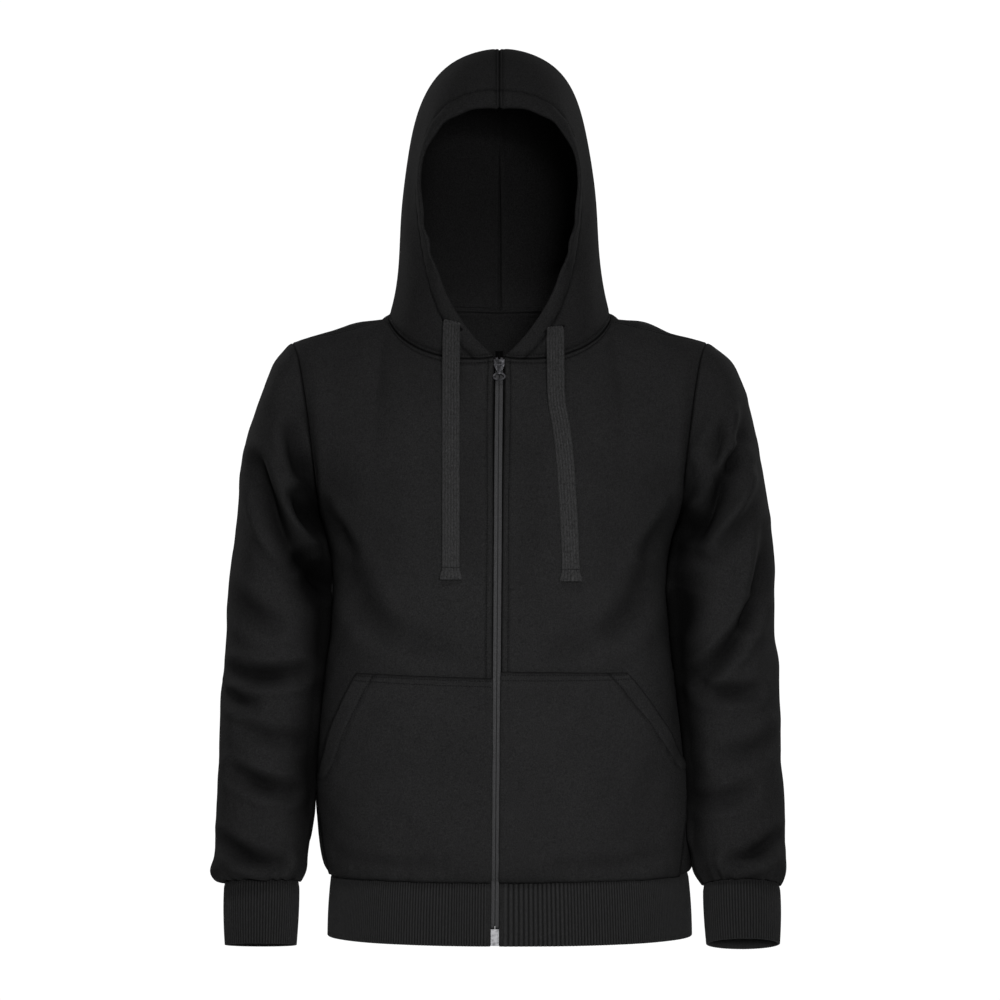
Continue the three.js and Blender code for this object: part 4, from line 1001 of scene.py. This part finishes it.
def seam_profile(distance, stitch):
    """Cloth drawn in at a seam and at the row of stitches beside it, and full between them."""
    shape = -SEAM_GROOVE * bell(distance, 1.15)
    if stitch:
        shape -= STITCH_GROOVE * bell(distance - stitch, 1.1)
        shape += 0.35 * bell(distance - stitch / 2, stitch * 0.25)
    return shape


def crease_shade(distance, stitch):
    """Painted shade: the colour is made darker down in a seam and along a row of stitches."""
    shade = 1 - SEAM_SHADE * bell(distance, 1.0)
    if stitch:
        shade = shade * (1 - STITCH_SHADE * bell(distance - stitch, 1.1))
    return shade


def dress_surface(panel, folds_front, folds_back, edges):
    """Folds, unevenness and seams of one panel, with their painted shade; edges maps an edge to its stitch
    distance.
    """
    distances = panel.edge_distances()
    x, z = np.abs(panel.places[..., 0]), panel.places[..., 2]
    ahead = np.clip(-panel.out[..., 1] * 1.5, 0, 1)
    behind = np.clip(panel.out[..., 1] * 1.5, 0, 1)
    window = np.ones_like(x)
    for edge in edges:
        window *= smooth_step(distances[edge] / CALM_BESIDE_EDGE)
    move = -ahead * fold_depth(x, z, folds_front) - behind * fold_depth(x, z, folds_back)
    # Painted shade in the seams and along the stitch rows
    panel.shade = np.prod([crease_shade(distances[edge], stitch) for edge, stitch in edges.items()], axis=0)
    # Painted shade in the fold troughs, darker the deeper they are
    panel.shade *= np.clip(1 + FOLD_SHADE * np.minimum(move * window, 0), 0.4, 1)
    move += unevenness(panel.places, LONG_WAVES) + 0.3 * unevenness(panel.places, SHORT_WAVES)
    move *= window
    move += np.min([seam_profile(distances[edge], stitch) for edge, stitch in edges.items()], axis=0)
    return move


def gathers(panel, deep, fade, pitch, places_along):
    """Small upright puckers that fade away from the ribbed band below."""
    distance = panel.edge_distances()["bottom"]
    phase = 2 * np.pi * places_along / pitch
    wave = np.sin(phase + 1.7 * np.sin(phase * 0.37) + 0.9 * np.sin(phase * 0.13 + 1))
    return deep * wave * smooth_step(distance / 3) * np.exp(-distance / fade)


def lowest_row(panel):
    """Lengths along the panel's lowest row."""
    return panel.edge_distances()["left"][-1][None, :]


for panel in fronts.values():
    edges = {"left": STITCH_BESIDE_ZIP, "right": 0, "top": STITCH_BESIDE_SEAM, "bottom": 0}
    move = dress_surface(panel, FRONT_FOLDS, BACK_FOLDS, edges)
    panel.move_out(move + gathers(panel, 0.8, 16, 17, lowest_row(panel)))
edges = {"left": 0, "right": 0, "top": STITCH_BESIDE_SEAM, "bottom": 0}
move = dress_surface(back, FRONT_FOLDS, BACK_FOLDS, edges)
back.move_out(move + gathers(back, 0.9, 18, 19, lowest_row(back)))
deep_folds = {}
for side_name, rows in SLEEVE_FOLDS.items():
    deep_folds[side_name] = {**rows, "deep": rows["deep"] * SLEEVE_FOLD_GAIN}
for side_name, panel in sleeves.items():
    other = "right" if side_name == "left" else "left"
    move = dress_surface(panel, deep_folds[side_name], deep_folds[other], {"top": 0, "bottom": 0})
    around = np.linspace(0, SLEEVE_GIRTH, panel.places.shape[1], endpoint=False)[None, :]
    x, z = np.abs(panel.places[..., 0]), panel.places[..., 2]
    panel.move_out(move + gathers(panel, 1.6, 20, SLEEVE_GIRTH / SLEEVE_GATHERS, around))
    y = panel.places[..., 1]
    ahead = smooth_step((y.mean(1, keepdims=True) - y) / HOLLOW_FADE)
    hollow = fold_depth(x, z, SLEEVE_HOLLOWS[side_name], ridges=0)
    panel.places[..., 1] += ahead * hollow
    # Painted shade in the sleeve's hollows beside the body
    panel.shade *= np.clip(1 - HOLLOW_SHADE * hollow, 0.2, 1)
for panel in hoods.values():
    distances = panel.edge_distances()
    from_rim, from_seam = distances["left"], np.minimum(distances["top"], distances["right"])
    along = distances["bottom"][:, :1]
    from_neck = distances["bottom"]
    move = 1.1 * unevenness(panel.places, LONG_WAVES) * smooth_step(from_seam / HOOD_CALM)
    move *= smooth_step(from_rim / RIM_CALM) * smooth_step(from_neck / HOOD_CALM)
    seams = [seam_profile(from_seam, HOOD_SEAM_STITCH), seam_profile(from_neck, STITCH_BESIDE_SEAM)]
    move += np.min(seams, axis=0)
    dome = np.sin(np.pi * np.clip(from_rim / CASING_WIDE, 0, 1)) ** 0.6
    pucker = 0.5 * np.sin(along / 2.9 + 2.1 * np.sin(along / 17)) * bell(from_rim - CASING_WIDE, 7)
    stitched = 1.5 * bell(from_rim - CASING_WIDE, 1.3)
    ripple = 0.7 * np.sin(along / 8.3 + 1.9 * np.sin(along / 23)) * smooth_step(1 - from_rim / CASING_WIDE)
    move += 1.9 * dome - stitched + (pucker + ripple) * smooth_step(from_seam / 6)
    # Painted shade in the hood's seams and along the casing's row of stitches
    panel.shade = crease_shade(from_seam, HOOD_SEAM_STITCH)
    panel.shade *= crease_shade(from_neck, STITCH_BESIDE_SEAM)
    panel.shade *= 1 - 0.35 * bell(from_rim - CASING_WIDE, 2)
    panel.move_out(move)


def surface_tree(*surfaces):
    """A tree of the surfaces' cells, for finding places on them."""
    places, faces, start = [], [], 0
    for panel in surfaces:
        rows, wide = panel.places.shape[:2]
        index = start + np.arange(rows * wide).reshape(rows, wide)
        corners = [index[:-1, :-1], index[:-1, 1:], index[1:, 1:], index[1:, :-1]]
        faces.append(np.stack(corners, -1).reshape(-1, 4))
        places.append(panel.places.reshape(-1, 3))
        start += rows * wide
    return BVHTree.FromPolygons(np.concatenate(places).tolist(), np.concatenate(faces).tolist())


REST_REACH = 13
REST_TOUCH = 0.5
REST_INSIDE_X = 225
REST_HIGH_Z = ARMPIT_Z - 8
REST_LOW_Z = HEM_TOP_Z + 20
REST_FADE = 20
RAY_START = 400


def rest_on_body(panel, tree, side):
    """The inner side of the sleeve lies against the body where it comes near it."""
    places = panel.places
    for cell in np.ndindex(*places.shape[:2]):
        x, y, z = places[cell]
        if side * x > REST_INSIDE_X or z > REST_HIGH_Z or z < REST_LOW_Z:
            continue
        hit = tree.ray_cast(Vector((side * RAY_START, y, z)), Vector((-side, 0, 0)))[0]
        if hit is None:
            continue
        gap = side * (x - hit.x) - REST_TOUCH
        if gap < REST_REACH:
            settled = smooth_step((REST_HIGH_Z - z) / REST_FADE) * smooth_step((z - REST_LOW_Z) / REST_FADE)
            near = REST_TOUCH + max(gap, 0) ** 2 / REST_REACH
            places[cell][0] = x * (1 - settled) + (hit.x + side * near) * settled


body_tree = surface_tree(*fronts.values(), back)
for side_name, side in SIDES.items():
    rest_on_body(sleeves[side_name], body_tree, side)
for panel in panels:
    panel.out = panel.directions()
join_panels(meetings)

FRONT_CUT = (0.28, 0.61)
BACK_CUT = (0.54, 0.66)
SLEEVE_CUT = (0.50, 0.61)
HOOD_CUT = (0.30, 0.37)
POCKET_CUT = (0.21, 0.24)


def cloth_piece(
    name, panel, thickness, flat, held="hung", also=(), round_edges=(), steps=3, edge_shade=1.0
):
    """One piece of fleece over the solid of the same name, and over the solids in also."""
    piece = shell(name + "_fleece", panel, thickness, round_edges, steps)
    # The panel's painted shade goes on the piece; edge_shade is the painted shade of its rounded edges
    add_shades(piece, panel.shade.ravel(), edge_shade)
    dress(piece, FLEECE, "fleece", name, *also)


for side_name in SIDES:
    lower = "sleeve_lower_" + side_name
    cloth_piece("front_" + side_name, fronts[side_name], CLOTH, FRONT_CUT, round_edges=("left",))
    cloth_piece("sleeve_" + side_name, sleeves[side_name], CLOTH, SLEEVE_CUT, also=(lower,))
    panel = hoods[side_name]
    distances = panel.edge_distances()
    from_rim, from_seam = distances["left"], np.minimum(distances["top"], distances["right"])
    inner_casing = smooth_step((CASING_WIDE - 1 - from_rim) / 2)
    allowance = np.exp(-(((from_seam - HOOD_SEAM_STITCH) / 2) ** 4))
    thickness = CLOTH + (CASING_CLOTH - CLOTH) * inner_casing + 0.7 * bell(from_rim - CASING_WIDE, 1.5)
    thickness = thickness + 1.5 * allowance - 1.1 * bell(from_seam, 1.2)
    cloth_piece("hood_" + side_name, panel, thickness, HOOD_CUT, round_edges=("left",), steps=6)
cloth_piece("back", back, CLOTH, BACK_CUT)

# Rib bands
RIB_STEPS = 7
# Painted shade down in the grooves between the ribs
RIB_GROOVE_SHADE = 0.22
RIB_ROWS = 10


def rib_panel(place_at, out_at, length, closed, inside, bulge):
    """A band with upright ribs and the painted shade of its grooves: place_at(share, down) is its plain
    line, out_at(share) the way out.
    """
    ribs = round(length / RIB_PITCH)
    shares = np.linspace(0, 1, ribs * RIB_STEPS + (0 if closed else 1), endpoint=not closed)
    rise = RIB_RISE * np.abs(np.sin(np.pi * ribs * shares)) ** 0.7
    out = out_at(shares)
    rows = []
    for down in np.linspace(0, 1, RIB_ROWS + 1):
        swell = bulge * math.sin(math.pi * down) - 1.2 * math.exp(-down * 24)
        wobble = 0.25 * np.sin(shares * length / 41 + 3 * down) + 0.2 * np.sin(shares * length / 13 + 5)
        rows.append(place_at(shares, down) + out * (rise + swell + wobble)[:, None])
    # Painted shade, darkest down in the grooves between the ribs
    shades = RIB_GROOVE_SHADE + (1 - RIB_GROOVE_SHADE) * (rise / RIB_RISE) ** 1.3
    return Panel(np.stack(rows), inside, "rib", tube=closed), np.tile(shades, RIB_ROWS + 1)


HEM_BAND = {"wide": 191.5, "shift": 11, "front": 102, "back": 97, "round": 2.3, "spread": 4}
HEM_LENGTH = 966
HEM_SPARE_TURN = (2.2, 1.1)
HEM_SETTLED = 60
HEM_TUCK = 1.6


def hem_place(share, down):
    turn = np.radians(HEM_SPARE_TURN[0] + (360 - sum(HEM_SPARE_TURN)) * share)
    grow = HEM_BAND["spread"] * down
    depth = np.where(np.cos(turn) > 0, HEM_BAND["front"], HEM_BAND["back"]) + grow
    power = 2 / HEM_BAND["round"]
    z = (HEM_TOP_Z + HEM_TUCK) * (1 - down) + HEM_BOTTOM_Z * down
    x = -(HEM_BAND["wide"] + grow) * power_of(np.sin(turn), power)
    y = -depth * power_of(np.cos(turn), power)
    near_zip = np.clip(1 - np.abs(x) / HEM_SETTLED, 0, 1) * (y < 0)
    x = x + HEM_BAND["shift"] * (1 - near_zip) + zip_x(z) * near_zip
    return np.stack([x, y, np.full_like(x, z)], -1)


def hem_out(share):
    step = 1e-3
    along = hem_place(np.minimum(share + step, 1), 0) - hem_place(np.maximum(share - step, 0), 0)
    out = unit(np.stack([-along[:, 1], along[:, 0], np.zeros(len(along))], -1))
    return out * np.sign((out * hem_place(share, 0)).sum())


hem, hem_shades = rib_panel(hem_place, hem_out, HEM_LENGTH, False, np.array([0, 0, -630]), 0.8)
hem_piece = shell("hem_band_rib", hem, RIB_CLOTH, ("bottom", "left", "right"))
add_shades(hem_piece, hem_shades)
dress(hem_piece, RIB, "rib", "hem_band")

# A plain facing of fleece covers each end of the band beside the zip
PLACKET_FROM = 4.6
PLACKET_OVER = 1.2
PLACKET_THICK = 1.3
PLACKET_STEPS = 9
for side_name, side in SIDES.items():
    end_column = -1 if side > 0 else 0
    ends = hem.places[:, end_column]
    inner_x = zip_x(ends[:, 2]) + side * PLACKET_FROM
    outer_x = ends[:, 0] + side * PLACKET_OVER
    grid = []
    for share in np.linspace(0, 1, PLACKET_STEPS):
        x = inner_x + (outer_x - inner_x) * share
        swell = 0.5 * math.sin(math.pi * share)
        y = ends[:, 1] - PLACKET_THICK * 0.6 - swell - 0.3 * share
        grid.append(np.stack([x, y, ends[:, 2]], -1))
    strip = Panel(np.stack(grid, 1), np.array([0, 0, -630]), "placket")
    piece = shell("hem_facing_" + side_name, strip, PLACKET_THICK, ("left", "right", "bottom"))
    dress(piece, FLEECE, "fleece")

CUFF_TUCK = 0.8
for side_name, side in SIDES.items():
    cuff = CUFFS[side_name]
    lean = math.radians(cuff["lean"])
    axis = np.array([0, -math.sin(lean), -math.cos(lean)])
    ahead = np.array([0, axis[2], -axis[1]])
    centre = np.array([side * cuff["x"], cuff["y"], cuff["z"]])

    def cuff_place(share, down):
        angle = 2 * np.pi * share[:, None]
        radial = np.array([side * cuff["half_wide"], 0, 0]) * np.cos(angle)
        radial = radial + ahead * cuff["half_deep"] * np.sin(angle)
        fall = -CUFF_TUCK + (cuff["length"] + CUFF_TUCK) * down
        return centre + radial * (1 - 0.05 * down) + axis * fall

    def cuff_out(share):
        angle = 2 * np.pi * share[:, None]
        sideways = np.array([side * cuff["half_deep"], 0, 0]) * np.cos(angle)
        return unit(sideways + ahead * cuff["half_wide"] * np.sin(angle))

    around = math.pi * (cuff["half_wide"] + cuff["half_deep"])
    band, band_shades = rib_panel(cuff_place, cuff_out, around, True, centre + axis * 30, 1.0)
    piece = shell("cuff_" + side_name + "_rib", band, RIB_CLOTH, ("bottom",))
    add_shades(piece, band_shades)
    dress(piece, RIB, "rib", "cuff_" + side_name)

# Pockets: laid on the fronts, with a turned opening edge that stands off a little
POCKET_ROWS = 74
POCKET_WIDE = 70
POCKET_HEM = 22
# Painted shade on the pocket's rounded edges
POCKET_EDGE_SHADE = 0.3
POCKET_TOP_STITCHES = (3, 9)
POCKET_SIDE_STITCH = 3
POCKET_FAR = 99
POCKET_SLANT_SHARE = 0.52


def hit_from_front(tree, x, z):
    place, normal, _, _ = tree.ray_cast(Vector((x, -RAY_START, z)), Vector((0, 1, 0)))
    if place is None:
        place, normal, _, _ = tree.find_nearest(Vector((x, -30, z)))
    return np.array(place), np.array(normal) * (-1 if normal.y > 0 else 1)


def pocket_outer(pocket, z):
    """How far out the pocket reaches at one height, along its slanted opening and its side."""
    slant_x, slant_z = pocket["slant"]
    side_x, side_z = pocket["side"]
    if z > slant_z:
        t = (pocket["top_out"] - z) / (pocket["top_out"] - slant_z)
        return pocket["corner"] + (slant_x - pocket["corner"]) * t**0.86
    t = (slant_z - z) / (slant_z - side_z)
    return slant_x + (side_x - slant_x) * t**1.4


pockets = {}
for side_name, side in SIDES.items():
    tree = surface_tree(fronts[side_name])
    pocket = POCKETS[side_name]
    grid = []
    bottom = HEM_TOP_Z + 1.2
    for i in range(POCKET_ROWS + 1):
        row = []
        for j in range(POCKET_WIDE + 1):
            share = j / POCKET_WIDE
            top = pocket["top_in"] + (pocket["top_out"] - pocket["top_in"]) * share
            z = top + (bottom - top) * i / POCKET_ROWS
            x_in = ZIP_HALF_GAP + 0.4 + side * float(zip_x(z))
            x = x_in + (pocket_outer(pocket, min(z, pocket["top_out"])) - x_in) * share
            ring = read_table(BODY_RINGS, "z", z)
            x = min(x, float(ring["wide"] + side * ring["shift"]) - 0.6)
            row.append(hit_from_front(tree, side * x, z)[0])
        grid.append(row)
    panel = Panel(np.array(grid), np.array([0, 0, -480]), "pocket")
    distances = panel.edge_distances()
    x, z = np.abs(panel.places[..., 0]), panel.places[..., 2]
    away = np.hypot(x - POCKET_GAPE["x"], z - POCKET_GAPE["z"])
    lift = POCKET_GAPE["lift"] * bell(away, POCKET_GAPE["reach"])
    slanted = z > pocket["slant"][1] + 4
    opening = np.where(slanted, distances["right"], POCKET_FAR)
    move = SEAM_GAP + POCKET_CLOTH + 1.0 + lift
    move = move + 0.5 * unevenness(panel.places + 40, SHORT_WAVES) * smooth_step(distances["top"] / 14)
    move += 1.2 * smooth_step((POCKET_HEM - opening) / 3)
    move -= 1.3 * bell(opening - POCKET_HEM, 1.4)
    for row in POCKET_TOP_STITCHES:
        move -= bell(distances["top"] - row, 1.3)
    # Painted shade along the pocket's top and side edges and along its opening's stitch line
    panel.shade = crease_shade(distances["top"], 0) * crease_shade(distances["right"], 0)
    panel.shade *= 1 - 0.3 * bell(opening - POCKET_HEM, 1.8)
    panel.move_out(move)
    pockets[side_name] = panel
    free = {"round_edges": ("top", "right", "left"), "edge_shade": POCKET_EDGE_SHADE}
    cloth_piece("pocket_" + side_name, panel, POCKET_CLOTH, POCKET_CUT, held="stretched", **free)

# Buttonholes: each cord comes out of a slanted slit in the casing, edged with close stitches
BUTTONHOLES = {"right": [(-60.2, -7.2), (-39.2, -18.2)], "left": [(68, -13.6), (47, -20.4)]}
BUTTONHOLE_HALF_WIDE = 1.7
WRAP_HALF = 0.8
WRAP_PITCH = 0.95
WRAP_SIDES = 8
BUTTONHOLE_STEPS = 181
for side_name, ends in BUTTONHOLES.items():
    tree = surface_tree(hoods[side_name])
    start, end = np.array(ends)
    along = unit(end - start)
    across = np.array([-along[1], along[0]])
    oval = []
    for angle in np.linspace(0, 2 * math.pi, BUTTONHOLE_STEPS):
        reach = math.cos(angle) * np.linalg.norm(end - start) / 2
        x, z = (start + end) / 2 + along * reach + across * BUTTONHOLE_HALF_WIDE * math.sin(angle)
        place, out = hit_from_front(tree, x, z)
        oval.append(place + out * 0.3)
    line = np.array(oval)
    turns = np.linspace(0, 2 * np.pi, WRAP_SIDES, endpoint=False)
    circle = np.stack([np.cos(turns), np.sin(turns)], -1)
    halves = WRAP_HALF * (0.8 + 0.2 * np.abs(np.sin(np.pi * run_along(line) / WRAP_PITCH)))
    across = np.tile((0, 1.0, 0), (len(line), 1))
    edge = sweep("buttonhole_" + side_name, line, [circle * half for half in halves], across)
    dress(edge, THREAD_WITH_PAINTED_SHADE, "cord")

# Stitches: short rounded beads of thread along a line on the cloth
STITCH_LENGTH = 1.9
STITCH_PITCH = 2.8
STITCH_HALF = 0.46


def stitch_run(points, outs):
    run = run_along(points)
    starts = np.arange(1, run[-1] - STITCH_LENGTH, STITCH_PITCH)
    ends = starts + STITCH_LENGTH

    def at(d, values):
        return np.stack([np.interp(d, run, values[:, c]) for c in range(3)], -1)

    return at(starts, points), at(ends, points), unit(at((starts + ends) / 2, outs))


def make_stitches(name, runs):
    parts = [stitch_run(*run) for run in runs]
    a, b, out = (np.concatenate([part[k] for part in parts]) for k in range(3))
    ahead = unit(b - a)
    side = unit(np.cross(ahead, out))
    vertices, faces = [], []
    sides = 6
    per = 2 * sides + 2
    for share in (0.2, 0.8):
        middle = a + (b - a) * share + out * 0.12
        for k in range(sides):
            angle = 2 * math.pi * k / sides
            vertices.append(middle + STITCH_HALF * (side * math.cos(angle) + out * math.sin(angle) * 0.8))
    vertices += [a - out * 0.15, b - out * 0.15]
    vertices = np.stack(vertices, 1).reshape(-1, 3)
    for n in range(len(a)):
        base = n * per
        for k in range(sides):
            nxt = (k + 1) % sides
            faces.append((base + k, base + nxt, base + sides + nxt, base + sides + k))
            faces.append((base + 2 * sides, base + nxt, base + k))
            faces.append((base + 2 * sides + 1, base + sides + k, base + sides + nxt))
    dress(new_object(name, vertices, faces), THREAD_WITH_PAINTED_SHADE, "fleece")


neck_columns = slice(0, NECK_COLUMNS)
shoulder_columns = slice(NECK_COLUMNS - 1, None)
for side_name, panel in fronts.items():
    hood = hoods[side_name]
    make_stitches(
        "stitches_front_" + side_name,
        [
            panel.line("left", STITCH_BESIDE_ZIP, slice(3, None)),
            panel.line("top", STITCH_BESIDE_SEAM, neck_columns),
            panel.line("top", STITCH_BESIDE_SEAM, shoulder_columns),
        ],
    )
    make_stitches(
        "stitches_hood_" + side_name,
        [
            hood.line("left", CASING_WIDE),
            hood.line("bottom", STITCH_BESIDE_SEAM),
            hood.line("top", HOOD_SEAM_STITCH),
            hood.line("right", HOOD_SEAM_STITCH),
        ],
    )
    pocket_panel = pockets[side_name]
    slant_rows = slice(0, int(POCKET_ROWS * POCKET_SLANT_SHARE))
    make_stitches(
        "stitches_pocket_" + side_name,
        [
            *(pocket_panel.line("top", row) for row in POCKET_TOP_STITCHES),
            pocket_panel.line("right", POCKET_HEM, slant_rows),
            pocket_panel.line("right", POCKET_SIDE_STITCH, slice(POCKET_ROWS // 2, None)),
        ],
    )
make_stitches("stitches_back", [back.line("top", STITCH_BESIDE_SEAM)])

# Zip: the closed zip shows the backs of its two woven tapes, which meet in a dark groove
def zip_line(step):
    left, right = fronts["left"].places[:, 0], fronts["right"].places[:, 0]
    middle = (left + right) / 2
    middle[:, 1] = np.minimum(left[:, 1], right[:, 1]) + 0.8
    low = np.concatenate([hem_place(np.zeros(1), down) for down in (0, 1)])
    low[:, 0] = zip_x(low[:, 2])
    line = np.concatenate([middle[:-1], low])
    line = line[np.argsort(-line[:, 2])]
    z = np.arange(line[0, 2], line[-1, 2], -step)
    return np.stack([np.interp(-z, -line[:, 2], line[:, c]) for c in range(2)] + [z], -1)


# The back of each tape shows its chain stitches as a narrow slanted texture beside the dark middle
FACE_HALF = (0.22, 4.1)
FACE_TOP_Z = -60
FACE_BOTTOM_Z = -646
TWILL_PITCH = 1.5
FACE_SIDES = 10
ZIP_STEP = 0.5
face_line = zip_line(ZIP_STEP)
face_line = face_line[(face_line[:, 2] < FACE_TOP_Z) & (face_line[:, 2] > FACE_BOTTOM_Z)]
for side_name, side in SIDES.items():
    half = (FACE_HALF[1] - FACE_HALF[0]) / 2
    angle = np.linspace(0, 2 * np.pi, FACE_SIDES, endpoint=False)
    flat = power_of(np.cos(angle), 0.6)
    outlines = []
    for z in face_line[:, 2]:
        twill = 0.12 * np.sin(2 * np.pi * (z + 0.9 * side * flat * half) / TWILL_PITCH)
        outlines.append(np.stack([half * flat, (0.6 + twill) * power_of(np.sin(angle), 0.8)], -1))
    line = face_line + np.array([side * (FACE_HALF[0] + half), 0.1, 0])
    face = sweep("zip_face_" + side_name, line, outlines, np.tile((1.0, 0, 0), (len(line), 1)))
    dress(face, TAPE, "zip_tape", *(["zip_chain"] if side_name == "left" else []))

BACKING_HALF = 1.6
BACKING_HALF_THICK = 0.25
backing_line = face_line[::4] + np.array([0, 0.75, 0])
backing_outline = np.array([(-1, -1), (1, -1), (1, 1), (-1, 1)]) * (BACKING_HALF, BACKING_HALF_THICK)
across = np.tile((1.0, 0, 0), (len(backing_line), 1))
backing = sweep("zip_middle", backing_line, [backing_outline] * len(backing_line), across)
dress(backing, THREAD_WITH_PAINTED_SHADE, "zip_tape")

shown_solids = {name: METAL for name in ("zip_slider", "zip_pull_tab", "zip_stop_left", "zip_stop_right")}
shown_solids |= {"zip_tape_left": TAPE, "zip_tape_right": TAPE, "zip_box": BRIGHT_METAL}
for name, material in shown_solids.items():
    bpy.data.objects[name].data.materials.clear()
    bpy.data.objects[name].data.materials.append(material)

# Stage: a pale round floor well below the garment
FLOOR_Z = -0.98
FLOOR_RADIUS = 1.45
floor_mesh = bpy.data.meshes.new("floor")
floor_turns = np.linspace(0, 2 * math.pi, 96, endpoint=False)
floor_points = [(FLOOR_RADIUS * math.cos(a), FLOOR_RADIUS * math.sin(a), FLOOR_Z) for a in floor_turns]
floor_mesh.from_pydata(floor_points, [], [tuple(range(len(floor_points)))])
floor = bpy.data.objects.new("floor", floor_mesh)
bpy.context.scene.collection.objects.link(floor)
paper, *_, paper_shader = new_material("floor_paper")
paper_shader.inputs["Base Color"].default_value = (0.86, 0.86, 0.86, 1)
paper_shader.inputs["Roughness"].default_value = 0.9
floor_mesh.materials.append(paper)

# Soft studio light
def place_light(data, power, place, aim):
    data.energy = power
    light = bpy.data.objects.new(data.name, data)
    light.location = place
    light.rotation_euler = (Vector(aim) - Vector(place)).to_track_quat("-Z", "Y").to_euler()
    bpy.context.scene.collection.objects.link(light)


LAMPS = {
    "front": (41, (0.55, -3.3, 0.1), (0, 0, -0.3), (0.8, 0.7)),
    "high": (36, (-0.3, -1.7, 2.0), (0, 0, -0.2), (0.9, 0.6)),
    "rim": (55, (1.9, 1.7, 0.9), (0, 0, -0.2), (0.8, 1.2)),
    "rim_far": (55, (-1.9, 1.7, 0.9), (0, 0, -0.2), (0.8, 1.2)),
}
for name, (power, place, aim, size) in LAMPS.items():
    lamp = bpy.data.lights.new(name, "AREA")
    lamp.shape = "RECTANGLE"
    lamp.size, lamp.size_y = size
    place_light(lamp, power, place, aim)

# A soft spot brightens the middle of the front
spot = bpy.data.lights.new("spot", "SPOT")
spot.spot_size = math.radians(20)
spot.spot_blend = 1
spot.shadow_soft_size = 0.3
place_light(spot, 390, (0.35, -3.3, 0.15), (0, 0, -0.42))

# The surroundings look white, but throw little light, so that the lamps shape the cloth
AROUND_LIGHT = 0.09
world = bpy.data.worlds.new("studio")
world.use_nodes = True
world_nodes = world.node_tree.nodes
world_links = world.node_tree.links
seen = world_nodes.new("ShaderNodeLightPath")
strength = world_nodes.new("ShaderNodeMapRange")
strength.inputs["To Min"].default_value = AROUND_LIGHT
strength.inputs["To Max"].default_value = 1.05
world_links.new(seen.outputs["Is Camera Ray"], strength.inputs["Value"])
world_links.new(strength.outputs["Result"], world_nodes["Background"].inputs["Strength"])
world_nodes["Background"].inputs["Color"].default_value = (1, 1, 1, 1)
bpy.context.scene.world = world
bpy.context.scene.view_settings.view_transform = "Standard"
